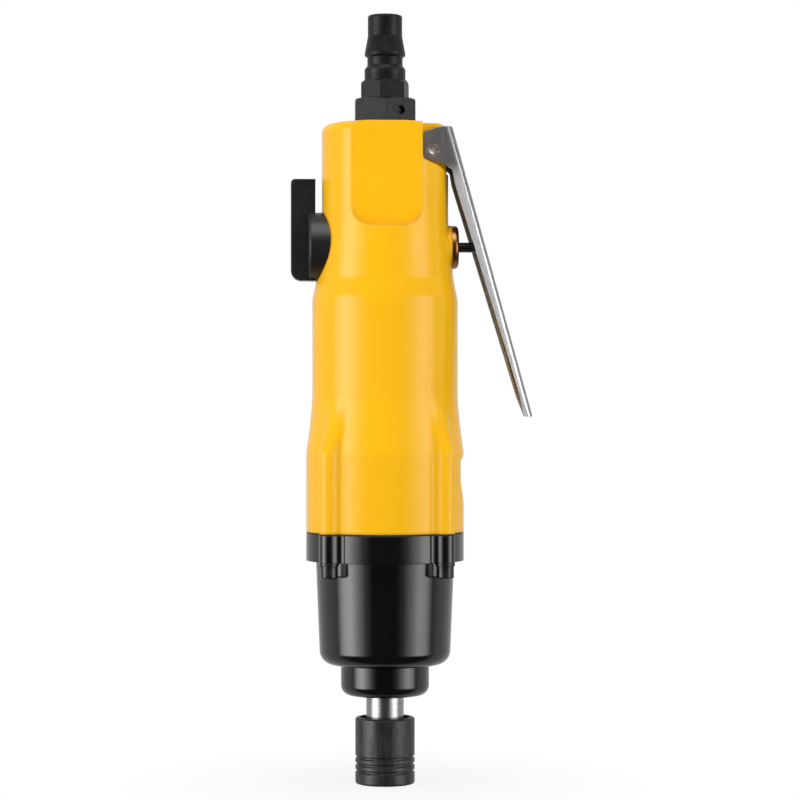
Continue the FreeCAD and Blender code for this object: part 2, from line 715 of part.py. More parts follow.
# Spring washers and cap screws under the flange
washer_low = flange_low - dim.washer_thick
head_end = washer_low - dim.screw_head_len


def spring_washer(name, x, y):
    disc = rod(name + "_disc", dim.washer_rad, washer_low, flange_low, x=x, y=y)
    hole = rod(name + "_hole", dim.screw_rad + dim.slide_fit, washer_low - 1, flange_low + 1, x=x, y=y)
    gap = block(name + "_gap", (x - dim.end_gap, y, washer_low - 1),
                (x + dim.end_gap, y + dim.washer_rad * 2, flange_low + 1))
    return less(name, disc, hole, gap)


def cap_screw(name, x, y):
    cap = turned(name + "_head", [
        (ZERO, head_end), (dim.screw_head_rad, head_end, 0.5), (dim.screw_head_rad, washer_low),
        (dim.screw_rad, washer_low), (dim.screw_rad, washer_low + dim.screw_len),
        (ZERO, washer_low + dim.screw_len)])
    key = hexagon(name + "_key", dim.screw_key, head_end - 1, head_end + dim.screw_key * 0.8, ZERO)
    return put(less(name, cap, key), x, y)


keep(group("SpringWashers", at_lobes("washer", spring_washer)), "spring_washers")
keep(group("CaseScrews", at_lobes("screw", cap_screw)), "case_screws")

# Gasket between the castings
gasket_bore = rod("gasket_bore", dim.motor_rad + dim.motor_fit * 3, case_top - 1, housing_low + 1)
gasket_holes = at_lobes("gasket_hole", lambda name, x, y: rod(
    name, dim.screw_rad + dim.slide_fit, case_top - 1, housing_low + 1, x=x, y=y))
keep(less("CaseGasket", lobed("gasket_pad", case_top, housing_low, dim.gasket_inset),
          joined("gasket_cutters", [gasket_bore] + gasket_holes)), "case_gasket")

# Housing: turned barrel and head on a lobed base, the lobes running out up the flare
inner_rad = (dim.barrel_rad + dim.motor_rad) / 2
barrel = turned("barrel_turned", [
    (ZERO, housing_low),
    (inner_rad, housing_low),
    (inner_rad, barrel_low),
    (dim.barrel_rad, barrel_low),
    (dim.barrel_rad, barrel_top, dim.shoulder_round),
    (dim.shoulder_rad, neck_low, dim.shoulder_round),
    (dim.head_rad, head_low, dim.neck_round),
    (dim.head_rad, head_top, dim.head_round),
    (ZERO, head_top),
])
base = lobed("base_pad", housing_low, base_top)
boss = rod("valve_boss", dim.boss_rad, dim.valve_floor, dim.boss_face, "X", z=valve_height)
casting = joined("casting", [barrel, base, flare("flare", base_top, barrel_low), boss])

motor_low = case_top
front_plate_high = motor_low + dim.front_plate_len
cylinder_high = front_plate_high + dim.cylinder_len
motor_high = cylinder_high + dim.rear_plate_len
motor_bore = rod("motor_bore", dim.motor_rad + dim.motor_fit, housing_low - 1, motor_high)
screw_top = washer_low + dim.screw_len
screw_holes = at_lobes("housing_hole", lambda name, x, y: rod(
    name, dim.screw_rad + dim.press_gap, housing_low - 1, screw_top + 1, x=x, y=y))

# Flats front and back on the head, with rounded lower corners
flat_low = head_top - dim.flat_len
flat_side = [
    (-dim.flat_half, head_top + 1),
    (-dim.flat_half, flat_low, dim.flat_round),
    (dim.flat_half, flat_low, dim.flat_round),
    (dim.flat_half, head_top + 1),
]
flats = less("flats_cutter", slab("flats_wide", flat_side, dim.head_rad * 1.5),
             block("flats_keep", (-dim.head_rad, -dim.flat_place, flat_low - 1),
                   (dim.head_rad, dim.flat_place, head_top + 2)))

# Pockets for the lever's ears, which leave a lug for its pin between them
ear_pocket_side = [
    (dim.pivot_out - dim.ear_back - dim.ear_gap, head_top + 1),
    (dim.pivot_out - dim.ear_back - dim.ear_gap, pivot_height - dim.ear_down - dim.ear_gap, 1.5),
    (dim.pivot_out + dim.ear_mid - dim.swing_room, pivot_height - dim.ear_heel - dim.ear_gap * 1.5),
    (dim.pivot_out + dim.ear_out, pivot_height - dim.ear_toe - dim.swing_room),
    (dim.head_rad * 1.5, pivot_height - dim.ear_toe - dim.swing_room),
    (dim.head_rad * 1.5, head_top + 1),
]
ear_pockets = less("ear_pockets", slab("ear_pockets_wide", ear_pocket_side, dim.head_rad * 1.5),
                   block("lug_keep", (ZERO, -dim.lug_half, pivot_height - dim.head_len),
                         (dim.head_rad * 2, dim.lug_half, head_top + 2)))
lug_trim = block("lug_trim", (dim.lug_face, -dim.head_rad, pivot_height - dim.ear_toe - dim.swing_room),
                 (dim.head_rad * 2, dim.head_rad, head_top + 1))
pin_hole = rod("pin_hole", dim.pin_rad + dim.press_gap, -dim.lever_half, dim.lever_half, "Y",
               x=dim.pivot_out, z=pivot_height)

# Valve bores and air passages
bushing_low = head_top - dim.bushing_depth
inlet_hole = rod("inlet_hole", dim.bushing_rad + dim.press_gap, bushing_low, head_top + 1)
seal_hole = rod("seal_hole", dim.inlet_seal_rad + dim.press_gap, head_top - dim.inlet_seal_thick,
                head_top + 1)
throttle_bore = rod("throttle_bore", dim.valve_bore, dim.valve_floor, dim.boss_face + 1, "X",
                    z=valve_height)
cap_seat = rod("cap_seat", dim.boss_rad + dim.slide_fit, dim.boss_face, dim.boss_face + dim.cap_len, "X",
               z=valve_height)
passage = rod("inlet_passage", dim.passage_rad, valve_height, bushing_low + 1,
              x=dim.valve_floor + dim.passage_rad * 1.2)
knob_in = dim.knob_seat + dim.knob_gap
spool_end = -(knob_in - dim.spool_len)
spool_bore = rod("spool_bore", dim.spool_rad + dim.slide_fit, -dim.head_rad, spool_end + dim.knob_gap,
                 "X", z=valve_height)
crossing = rod("crossing", dim.port_rad, spool_end - 1, dim.valve_floor + 1, "X", z=valve_height)
knob_well = rod("knob_well", dim.knob_rad + dim.knob_gap, -dim.barrel_rad * 1.2, -dim.knob_seat, "X",
                z=valve_height)
detent_height = valve_height + dim.detent_place
detent_floor = dim.detent_depth - dim.knob_seat
detent_hole = rod("detent_hole", dim.ball_rad + dim.slide_fit, -dim.head_rad, detent_floor, "X",
                  z=detent_height)
ports = []
for side, sign in (("back", 1), ("front", -1)):
    ports.append(rod("motor_port_" + side, dim.port_rad, motor_high - 1, valve_height - dim.spool_rad * 0.6,
                     x=-dim.port_out, y=dim.port_out / 2 * sign))

# Exhaust recess on the lever side, with slots through to the motor
recess_high = base_top - dim.recess_drop
flat_top = recess_high - dim.recess_slope
flat_bottom = flat_top - dim.exhaust_flat
ramp_low = flat_bottom - dim.exhaust_ramp
recess = slab("exhaust_recess", [
    (dim.base_rad, recess_high),
    (dim.exhaust_face, flat_top, dim.recess_slope / 2),
    (dim.exhaust_face, flat_bottom),
    (dim.base_rad, ramp_low),
    (dim.base_rad * 1.2, ramp_low),
    (dim.base_rad * 1.2, recess_high + dim.recess_slope),
], dim.exhaust_half)
slots = []
for number in range(3):
    low = flat_bottom + 1 - number * dim.slot_height * 2
    slots.append(block(f"exhaust_slot_{number}", (dim.motor_rad - 1, -dim.slot_half, low),
                       (dim.base_rad * 1.1, dim.slot_half, low + dim.slot_height)))

housing = less("MotorHousing", casting, motor_bore, joined("housing_screw_holes", screw_holes), flats,
               ear_pockets, lug_trim, pin_hole, inlet_hole, seal_hole, throttle_bore, cap_seat, passage,
               spool_bore, crossing, knob_well, detent_hole, joined("motor_ports", ports), recess,
               joined("exhaust_slots", slots))
keep(housing, "motor_housing")

# Bit sleeve: grip grooves outside; inside a land over the balls between two chambers
land_high = dim.sleeve_len - dim.rear_room
land_low = land_high - dim.sleeve_land_len
ball_height = land_high - dim.ball_rad - dim.sleeve_groove
sleeve_corners = [(dim.sleeve_bore, ZERO), (dim.sleeve_rad, ZERO, dim.sleeve_edge)]
for number in range(3):
    middle = dim.groove_first + dim.groove_pitch * number
    half = dim.groove_width / 2
    sleeve_corners += [
        (dim.sleeve_rad, middle - half),
        (dim.sleeve_rad - dim.sleeve_groove, middle - half / 2),
        (dim.sleeve_rad - dim.sleeve_groove, middle + half / 2),
        (dim.sleeve_rad, middle + half),
    ]
sleeve_corners += [
    (dim.sleeve_rad, dim.sleeve_len, dim.sleeve_edge),
    (dim.sleeve_bore, dim.sleeve_len),
    (dim.sleeve_bore, land_high),
    (dim.shaft_rad + dim.slide_fit, land_high),
    (dim.shaft_rad + dim.slide_fit, land_low),
    (dim.sleeve_bore, land_low),
]
keep(turned("RetainingSleeve", sleeve_corners), "retaining_sleeve")
ring_high = dim.ring_first + dim.ring_thick
keep(ring("SnapRing", dim.ring_groove + dim.press_gap, dim.ring_rad, dim.ring_first, ring_high), "snap_ring")
keep(ring("SleeveWasher", dim.shaft_rad + dim.slide_fit, dim.ring_rad, ring_high,
          ring_high + dim.ring_thick), "sleeve_washer")
stop_low = land_high + dim.slide_fit
keep(ring("StopRing", dim.ring_groove + dim.press_gap, dim.ring_rad, stop_low, stop_low + dim.ring_thick),
     "sleeve_stop_ring")
spring_low = ring_high + dim.ring_thick
sleeve_spring = coil("SleeveSpring", (dim.shaft_rad + dim.sleeve_bore) / 2, dim.wire_rad, spring_low,
                     land_low, 2.5)
keep(put(sleeve_spring, z=spring_low), "sleeve_spring")
lock_balls = []
for side, sign in (("right", 1), ("left", -1)):
    lock_balls.append(ball("lock_ball_" + side, dim.ball_rad, x=(dim.ball_reach + dim.ball_rad) * sign,
                           z=ball_height))
keep(group("BitLockBalls", lock_balls), "bit_lock_balls")

# Heights of the hammer mechanism
shoulder_low = room_low + dim.thrust_thick + dim.slide_fit
cage_low = shoulder_low + dim.thrust_thick * 1.5
cage_room_low = cage_low + dim.cage_plate
cage_room_high = cage_room_low + dim.cage_room
cage_high = cage_room_high + dim.cage_end
hub_high = case_top - dim.end_gap
jaws_high = cage_room_high - dim.hammer_gap

# Anvil: output shaft with its hexagon socket, journal, shoulder and two jaws
anvil_turned = turned("anvil_turned", [
    (ZERO, ZERO),
    (dim.shaft_rad, ZERO),
    (dim.shaft_rad, dim.ring_first),
    (dim.ring_groove, dim.ring_first),
    (dim.ring_groove, ring_high),
    (dim.shaft_rad, ring_high),
    (dim.shaft_rad, stop_low),
    (dim.ring_groove, stop_low),
    (dim.ring_groove, stop_low + dim.ring_thick),
    (dim.shaft_rad, stop_low + dim.ring_thick),
    (dim.shaft_rad, seal_high + dim.end_gap),
    (dim.journal_rad, seal_high + dim.end_gap),
    (dim.journal_rad, shoulder_low),
    (dim.jaw_rad, shoulder_low),
    (dim.jaw_rad, cage_room_low),
    (dim.core_rad, cage_room_low),
    (dim.core_rad, jaws_high),
    (dim.axle_rad, jaws_high),
    (dim.axle_rad, cage_high - dim.end_gap),
    (ZERO, cage_high - dim.end_gap),
])
jaw_bar = block("jaw_bar", (-dim.jaw_rad * 1.2, -dim.jaw_half, cage_room_low - 1),
                (dim.jaw_rad * 1.2, dim.jaw_half, jaws_high))
jaws = common("jaws", jaw_bar, rod("jaw_round", dim.jaw_rad, cage_room_low - 1, jaws_high))
jaws.Placement = FreeCAD.Placement(V(), FreeCAD.Rotation(DOWN_TO_UP, 45))
socket = hexagon("bit_socket_hex", dim.bit_flats, Size(-1, "-1"), dim.bit_depth, ZERO)
ball_hole = rod("ball_hole", dim.ball_rad + dim.slide_fit, -dim.shaft_rad * 1.2, dim.shaft_rad * 1.2, "X",
                z=ball_height)
keep(less("Anvil", joined("anvil_solid", [anvil_turned, jaws]), socket, ball_hole), "anvil")
keep(ring("NoseSeal", dim.shaft_rad + dim.slide_fit * 2, dim.seal_rad - dim.press_gap, seal_low, seal_high),
     "nose_seal")
keep(ring("AnvilBushing", dim.journal_rad + dim.spin_fit, dim.bush_rad - dim.press_gap, seal_high, room_low),
     "anvil_bushing")
keep(ring("ThrustWasher", dim.journal_rad + dim.slide_fit * 2, dim.thrust_rad, room_low,
          room_low + dim.thrust_thick), "thrust_washer")

# Hammer cage: two plates joined by two struts, with a hub for the rotor
front_plate_ring = ring("cage_front", dim.jaw_rad + dim.spin_fit, dim.cage_rad, cage_low, cage_room_low)
rear_plate_ring = turned("cage_rear", [
    (dim.axle_rad + dim.spin_fit, cage_room_high),
    (dim.cage_rad, cage_room_high),
    (dim.cage_rad, cage_high),
    (dim.axle_rad * 2, cage_high),
    (dim.axle_rad * 2, hub_high),
    (dim.axle_rad + dim.spin_fit, hub_high),
])
strut_ring = ring("strut_ring", dim.hammer_rad + dim.hammer_gap, dim.cage_rad, cage_low, cage_high)
strut_block = block("strut_block", (-dim.cage_rad, -dim.cage_strut, cage_low),
                    (dim.cage_rad, dim.cage_strut, cage_high))
struts = common("cage_struts", strut_ring, strut_block)


def hammer_pin(name, radius, low, high, sign):
    return rod(name, radius, low, high, y=dim.hammer_pin_place * sign)


pins, pin_holes = [], []
for side, sign in (("back", 1), ("front", -1)):
    pins.append(hammer_pin("hammer_pin_" + side, dim.hammer_pin_rad, cage_low, cage_high, sign))
    pin_holes.append(hammer_pin("cage_pin_hole_" + side, dim.hammer_pin_rad + dim.press_gap,
                                cage_low - 1, cage_high + 1, sign))
keep(less("HammerCage", joined("cage_solid", [front_plate_ring, rear_plate_ring, struts]),
          joined("cage_pin_holes", pin_holes)), "hammer_cage")
keep(group("HammerPins", pins), "hammer_pins")

# Two ring hammers: each hangs on one pin, has room round the other, and a dog inside that strikes a jaw
hammer_len = (dim.cage_room - dim.hammer_gap * 3) / 2
dog_in = (dim.core_rad + dim.jaw_rad) / 2
dog_out = (dim.hammer_bore + dim.hammer_rad) / 2
dog_half = dim.jaw_half * 0.8
for number, (label, sign) in enumerate((("hammer_front", 1), ("hammer_rear", -1))):
    low = cage_room_low + dim.hammer_gap + (hammer_len + dim.hammer_gap) * number
    high = low + hammer_len
    body = ring(label + "_ring", dim.hammer_bore, dim.hammer_rad, low, high)
    if sign > 0:
        dog = block(label + "_dog", (dog_in, -dog_half, low), (dog_out, dog_half, high))
    else:
        dog = block(label + "_dog", (-dog_out, -dog_half, low), (-dog_in, dog_half, high))
    notches = [hammer_pin(label + "_hook", dim.hammer_pin_rad + dim.spin_fit, low - 1, high + 1, sign)]
    for step in (-1, 0, 1):
        angle = math.radians(-90 * sign + step * dim.hammer_swing.number)
        notches.append(rod(f"{label}_room_{step + 1}", dim.hammer_pin_rad + dim.hammer_gap,
                           low - 1, high + 1, x=dim.hammer_pin_place * math.cos(angle),
                           y=dim.hammer_pin_place * math.sin(angle)))
    keep(less(label + "_solid", joined(label + "_blank", [body, dog]), joined(label + "_notches", notches)),
         label)

# Motor: end plates, cylinder with its bore off the axis, dowel pin
front_bearing_low = motor_low + dim.end_gap * 2
front_bearing_high = front_bearing_low + dim.bearing_len
pocket_rad = dim.bearing_rad + dim.press_gap
front_blank = turned("front_plate_turned", [
    (pocket_rad, motor_low),
    (dim.motor_rad, motor_low),
    (dim.motor_rad, front_plate_high),
    (dim.axle_rad + dim.axle_room, front_plate_high),
    (dim.axle_rad + dim.axle_room, front_bearing_high),
    (pocket_rad, front_bearing_high),
])
rear_bearing_high = motor_high - dim.end_gap
rear_bearing_low = rear_bearing_high - dim.bearing_len
rear_blank = turned("rear_plate_turned", [
    (dim.axle_rad + dim.axle_room, cylinder_high),
    (dim.motor_rad, cylinder_high),
    (dim.motor_rad, motor_high),
    (pocket_rad, motor_high),
    (pocket_rad, rear_bearing_low),
    (dim.axle_rad + dim.axle_room, rear_bearing_low),
])
dowel_low = front_plate_high - dim.dowel_grip
dowel_high = cylinder_high + dim.dowel_grip


def dowel_hole(name):
    return rod(name, dim.dowel_rad + dim.press_gap, dowel_low, dowel_high, x=dim.dowel_out)


keep(less("FrontEndPlate", front_blank, dowel_hole("front_dowel_hole")), "front_end_plate")
keep(less("RearEndPlate", rear_blank, dowel_hole("rear_dowel_hole")), "rear_end_plate")
cylinder_blank = rod("cylinder_blank", dim.motor_rad, front_plate_high, cylinder_high)
cylinder_hole = rod("cylinder_hole", dim.cylinder_bore, front_plate_high - 1, cylinder_high + 1,
                    x=-dim.bore_shift)
keep(less("MotorCylinder", cylinder_blank, cylinder_hole, dowel_hole("cylinder_dowel_hole")),
     "motor_cylinder")
keep(rod("CylinderDowelPin", dim.dowel_rad, dowel_low, dowel_high, x=dim.dowel_out), "cylinder_dowel_pin")


# Rotor and vanes
def spoke(name, inner, outer, thick, low, high, angle):
    """A plate standing on a radius of the tool axis."""
    plate = doc.addObject("Part::Box", name)
    bind(plate, "Length", outer - inner)
    bind(plate, "Width", thick)
    bind(plate, "Height", high - low)
    cosine, sine = math.cos(math.radians(angle)), math.sin(math.radians(angle))
    return put(plate, inner * cosine + thick / 2 * sine, inner * sine - thick / 2 * cosine, low,
               FreeCAD.Rotation(DOWN_TO_UP, angle))


rotor_low = front_plate_high + dim.rotor_gap
rotor_high = cylinder_high - dim.rotor_gap
rotor_blank = turned("rotor_turned", [
    (ZERO, cage_high + dim.end_gap),
    (dim.axle_rad, cage_high + dim.end_gap),
    (dim.axle_rad, rotor_low),
    (dim.rotor_rad, rotor_low),
    (dim.rotor_rad, rotor_high),
    (dim.axle_rad, rotor_high),
    (dim.axle_rad, rear_bearing_high),
    (ZERO, rear_bearing_high),
])
vane_inner = dim.rotor_rad - dim.vane_depth
slots, vanes = [], []
for number in range(int(dim.vane_count.number)):
    angle = 360 / dim.vane_count.number * number
    slots.append(spoke(f"vane_slot_{number}", vane_inner - dim.press_gap, dim.rotor_rad * 1.1,
                       dim.vane_thick + dim.press_gap * 2, rotor_low - 1, rotor_high + 1, angle))
    vanes.append(spoke(f"vane_{number}", vane_inner, dim.rotor_rad - dim.press_gap, dim.vane_thick,
                       rotor_low, rotor_high, angle))
keep(less("Rotor", rotor_blank, joined("vane_slots", slots)), "rotor")
keep(group("RotorVanes", vanes), "rotor_vanes")

# Ball bearings in the end plates
track = dim.axle_rad + dim.bearing_wall
outer_track = dim.bearing_rad - dim.bearing_wall
race_ball = (outer_track - track) / 2 - dim.spin_fit
for label, low, high in (("front", front_bearing_low, front_bearing_high),
                         ("rear", rear_bearing_low, rear_bearing_high)):
    keep(ring(label + "_outer", outer_track, dim.bearing_rad, low, high), label + "_bearing_outer")
    keep(ring(label + "_inner", dim.axle_rad + dim.press_gap, track, low, high), label + "_bearing_inner")
    race = []
    for number in range(int(dim.bearing_balls.number)):
        angle = 2 * math.pi / dim.bearing_balls.number * number
        circle = (outer_track + track) / 2
        race.append(ball(f"{label}_race_{number}", race_ball, circle * math.cos(angle),
                         circle * math.sin(angle), (low + high) / 2))
    keep(group(label + "_balls", race), label + "_bearing_balls")

# Throttle: sheet lever on a rolled pin, stem with its poppet, seat seal, spring, brass cap
slope = (dim.tip_out - dim.ear_out) / (dim.tip_down + dim.ear_top)
lean = math.degrees(math.atan(slope.number))


def along_lever(height):
    """How far the lever's straight outer face is from the tool axis at a height above its pin."""
    return dim.pivot_out + dim.ear_out + slope * (dim.ear_top - height)


skin = dim.lever_sheet / math.cos(math.radians(lean))
tip_start = dim.tip_run - dim.tip_down
lever_side = [
    (dim.pivot_out - dim.ear_back, pivot_height + dim.ear_up, 1.0),
    (dim.pivot_out + dim.ear_mid, pivot_height + dim.ear_top),
    (dim.pivot_out + dim.ear_out, pivot_height + dim.ear_top, 0.8),
    (dim.pivot_out + dim.tip_out, pivot_height - dim.tip_down, dim.lever_sheet * 0.4),
    (dim.pivot_out + dim.tip_out - skin, pivot_height - dim.tip_down, dim.lever_sheet * 0.3),
    (along_lever(tip_start) - dim.channel_tip, pivot_height + tip_start, dim.tip_run),
    (along_lever(-dim.channel_down) - dim.channel_deep, pivot_height - dim.channel_down),
    (dim.pivot_out + dim.ear_out - dim.slide_fit, pivot_height - dim.ear_toe, 1.0),
    (dim.pivot_out + dim.ear_mid - dim.slide_fit, pivot_height - dim.ear_heel),
    (dim.pivot_out - dim.ear_back + dim.slide_fit, pivot_height - dim.ear_down, 1.0),
]


def channel(name, gap, bend):
    """A long bar with two bent edges that leans with the lever, its face a gap behind the lever's."""
    half = dim.lever_half - gap
    bar = prism(name, [
        (-dim.head_rad * 2, half), (-dim.head_rad * 2, -half), (-gap, -half, bend), (-gap, half, bend),
    ], -dim.tip_down * 1.2, dim.tip_down * 0.3)
    down = dim.tip_down * 1.2
    return put(bar, dim.pivot_out + dim.ear_out + down * math.sin(math.radians(lean)), ZERO,
               pivot_height + dim.ear_top - down * math.cos(math.radians(lean)),
               FreeCAD.Rotation(V(0, 1, 0), -lean))


lever_bent = common("lever_bent", slab("lever_blank", lever_side, dim.lever_half),
                    channel("lever_outside", ZERO, dim.lever_bend))
ear_holes = rod("ear_holes", dim.pin_rad + dim.slide_fit, -dim.lever_half * 1.2, dim.lever_half * 1.2, "Y",
                x=dim.pivot_out, z=pivot_height)
lever_hollow = channel("lever_inside", dim.lever_sheet, dim.lever_bend - dim.lever_sheet)
keep(less("ThrottleLever", lever_bent, lever_hollow, ear_holes), "throttle_lever")
pin_blank = rod("pin_blank", dim.pin_rad, -dim.lever_half, dim.lever_half, "Y", x=dim.pivot_out,
                z=pivot_height)
pin_bore = rod("pin_bore", dim.pin_rad - dim.pin_wall, -dim.lever_half * 1.2, dim.lever_half * 1.2, "Y",
               x=dim.pivot_out, z=pivot_height)
split_half = dim.pin_wall / 4
pin_split = block("pin_split", (dim.pivot_out, -dim.lever_half * 1.2, pivot_height - split_half),
                  (dim.pivot_out + dim.pin_rad * 1.5, dim.lever_half * 1.2, pivot_height + split_half))
keep(less("LeverPivotPin", pin_blank, pin_bore, pin_split), "lever_pivot_pin")

stem_end = along_lever(valve_height - pivot_height) - skin - dim.stem_gap - slope * dim.stem_rad
shank_end = dim.boss_face - dim.plug_depth
poppet_out = shank_end - dim.seat_thick - dim.slide_fit
poppet_in = poppet_out - dim.poppet_thick
stem = turned("ThrottleStem", [
    (poppet_in, ZERO),
    (poppet_in, dim.poppet_rad),
    (poppet_out, dim.poppet_rad),
    (poppet_out, dim.stem_rad),
    (stem_end, dim.stem_rad, dim.stem_rad * 0.5),
    (stem_end, ZERO),
], about="X")
keep(put(stem, z=valve_height), "throttle_stem")
cap = turned("ThrottleValveCap", [
    (shank_end, dim.stem_rad + dim.slide_fit),
    (shank_end, dim.valve_bore - dim.press_gap),
    (dim.boss_face, dim.valve_bore - dim.press_gap),
    (dim.boss_face, dim.cap_rad),
    (dim.boss_face + dim.cap_len, dim.cap_rad, dim.cap_round),
    (dim.boss_face + dim.cap_len, dim.stem_rad + dim.slide_fit),
], about="X")
keep(put(cap, z=valve_height), "throttle_valve_cap")
seat = turned("ThrottleSeatSeal", [
    (shank_end - dim.seat_thick, dim.stem_rad + dim.slide_fit),
    (shank_end - dim.seat_thick, dim.poppet_rad),
    (shank_end, dim.poppet_rad),
    (shank_end, dim.stem_rad + dim.slide_fit),
], about="X")
keep(put(seat, z=valve_height), "throttle_seat_seal")
throttle_spring = coil("ThrottleSpring", dim.poppet_rad * 0.77, dim.wire_rad, dim.valve_floor, poppet_in, 3)
keep(put(throttle_spring, x=dim.valve_floor, z=valve_height, turn=TURNS["X"]), "throttle_spring")

# Reverse: knob with its grip bar, valve spool, screw, O-ring, detent ball and spring
detent_half = dim.ball_rad + dim.slide_fit * 3
hub = turned("knob_hub", [
    (-dim.knob_face, ZERO),
    (-dim.knob_face, dim.knob_rad, 0.6),
    (-knob_in, dim.knob_rad),
    (-knob_in, dim.detent_place + detent_half),
    (-(knob_in + dim.ball_rad), dim.detent_place + detent_half),
    (-(knob_in + dim.ball_rad), dim.detent_place - detent_half),
    (-knob_in, dim.detent_place - detent_half),
    (-knob_in, ZERO),
], about="X")
grip = slab("knob_grip", [
    (-dim.grip_in, -dim.grip_down),
    (-dim.grip_in, dim.grip_up),
    (-dim.grip_out, dim.grip_up, dim.grip_round * 0.4),
    (-dim.grip_out, -dim.grip_down, dim.grip_round),
], dim.grip_half)
knob_bore = rod("knob_bore", dim.knob_screw_rad + dim.press_gap, -dim.grip_out - 1, -knob_in + 1, "X")
head_depth = dim.knob_screw_head * 0.8
knob_counter = rod("knob_counter", dim.knob_screw_head + dim.slide_fit, -dim.grip_out - 1,
                   head_depth - dim.grip_out, "X")
knob = less("ReverseKnob", joined("knob_solid", [hub, grip]), knob_bore, knob_counter)
keep(put(knob, z=valve_height), "reverse_knob")
screw_end = dim.screw_tip - knob_in
knob_screw = turned("KnobScrew", [
    (dim.end_gap - dim.grip_out, ZERO),
    (dim.end_gap - dim.grip_out, dim.knob_screw_head, 0.6),
    (head_depth - dim.grip_out, dim.knob_screw_head),
    (head_depth - dim.grip_out, dim.knob_screw_rad),
    (screw_end, dim.knob_screw_rad),
    (screw_end, ZERO),
], about="X")
keep(put(knob_screw, z=valve_height), "knob_screw")
seal_wire = dim.spool_rad / 10
ring_mid = 3 * seal_wire - knob_in
spool_blank = turned("spool_turned", [
    (-knob_in, ZERO),
    (-knob_in, dim.spool_rad),
    (ring_mid - seal_wire, dim.spool_rad),
    (ring_mid - seal_wire, dim.spool_rad - seal_wire * 2),
    (ring_mid + seal_wire, dim.spool_rad - seal_wire * 2),
    (ring_mid + seal_wire, dim.spool_rad),
    (spool_end, dim.spool_rad),
    (spool_end, ZERO),
], about="X")
spool_hole = rod("spool_hole", dim.knob_screw_rad + dim.press_gap, -knob_in - 1, screw_end + dim.end_gap,
                 "X")
spool_port = block("spool_port", (screw_end + 1, -dim.spool_rad, -dim.spool_rad * 1.2),
                   (spool_end + 1, dim.spool_rad, -dim.spool_rad * 0.4))
spool = less("ReverseValveSpool", spool_blank, spool_hole, spool_port)
keep(put(spool, z=valve_height), "reverse_valve_spool")
o_ring = doc.addObject("Part::Torus", "SpoolORing")
bind(o_ring, "Radius1", dim.spool_rad - seal_wire)
bind(o_ring, "Radius2", seal_wire - dim.press_gap)
keep(put(o_ring, ring_mid, ZERO, valve_height, TURNS["X"]), "spool_o_ring")
detent_out = dim.knob_seat - dim.press_gap
keep(ball("DetentBall", dim.ball_rad, x=-detent_out, z=detent_height), "detent_ball")
detent_spring_low = dim.ball_rad - detent_out
detent_spring = coil("DetentSpring", dim.ball_rad * 0.7, dim.wire_rad * 0.6, detent_spring_low,
                     detent_floor, 4)
keep(put(detent_spring, x=detent_spring_low, z=detent_height, turn=TURNS["X"]), "detent_spring")


# Air inlet: seal, bushing with its screen, air plug
def chamfered_hexagon(name, flats, low, high, turn):
    """A hexagon whose top corners are turned off."""
    corner = flats / (2 * math.cos(math.radians(30)))
    limit = turned(name + "_limit", [
        (ZERO, low), (corner * 1.01, low), (corner * 1.01, high - dim.hex_chamfer),
        (flats / 2, high), (ZERO, high)])
    return common(name, hexagon(name + "_bar", flats, low, high, turn), limit)


keep(ring("InletSeal", dim.bushing_rad + dim.press_gap, dim.inlet_seal_rad, head_top - dim.inlet_seal_thick,
          head_top), "inlet_seal")
bushing_high = head_top + dim.bushing_hex_len
thread_low = bushing_high - dim.thread_len
screen_low = thread_low - dim.screen_thick - dim.slide_fit
bushing_end = rod("bushing_end", dim.bushing_rad, bushing_low, head_top)
bushing_hex = chamfered_hexagon("bushing_hex", dim.bushing_flats, head_top, bushing_high,
                                dim.bushing_turn)
bushing_narrow = rod("bushing_narrow", dim.inlet_bore, bushing_low - 1, bushing_high)
bushing_wide = rod("bushing_wide", dim.thread_rad + dim.press_gap, screen_low, bushing_high + 1)
dot_angle = math.radians(-60)
dot_heading = V(math.cos(dot_angle), math.sin(dot_angle), 0)
bushing_dot = doc.addObject("Part::Cylinder", "bushing_dot")
bind(bushing_dot, "Radius", dim.bushing_dot)
bind(bushing_dot, "Height", dim.bushing_flats)
dot_reach = dim.bushing_flats / 2 - dim.dot_depth
put(bushing_dot, dot_reach * dot_heading.x, dot_reach * dot_heading.y, head_top + dim.bushing_hex_len / 2,
    FreeCAD.Rotation(DOWN_TO_UP, dot_heading))
keep(less("InletBushing", joined("bushing_solid", [bushing_end, bushing_hex]), bushing_narrow,
          bushing_wide, bushing_dot), "inlet_bushing")
keep(rod("InletScreen", dim.thread_rad, screen_low, screen_low + dim.screen_thick), "inlet_screen")

plug_hex_high = bushing_high + dim.plug_hex_len
collar_high = plug_hex_high + dim.plug_collar_len
groove_low = collar_high + dim.groove_slope
groove_high = groove_low + dim.plug_groove_len
ridge_low = groove_high + dim.ridge_slope
ridge_high = ridge_low + dim.plug_ridge_len
cone_high = ridge_high + dim.plug_cone_len
plug_high = cone_high + dim.plug_nose_len
plug_turned = turned("plug_turned", [
    (ZERO, thread_low),
    (dim.thread_rad, thread_low),
    (dim.thread_rad, bushing_high),
    (dim.plug_shank, bushing_high),
    (dim.plug_shank, plug_hex_high),
    (dim.plug_collar, plug_hex_high),
    (dim.plug_collar, collar_high),
    (dim.plug_groove, groove_low),
    (dim.plug_groove, groove_high),
    (dim.plug_ridge, ridge_low),
    (dim.plug_ridge, ridge_high),
    (dim.plug_nose, cone_high),
    (dim.plug_nose, plug_high, 0.8),
    (ZERO, plug_high),
])
plug_hex = chamfered_hexagon("plug_hex", dim.plug_flats, bushing_high, plug_hex_high, dim.plug_turn)
plug_hole = rod("plug_hole", dim.plug_bore, thread_low - 1, plug_high + 1)
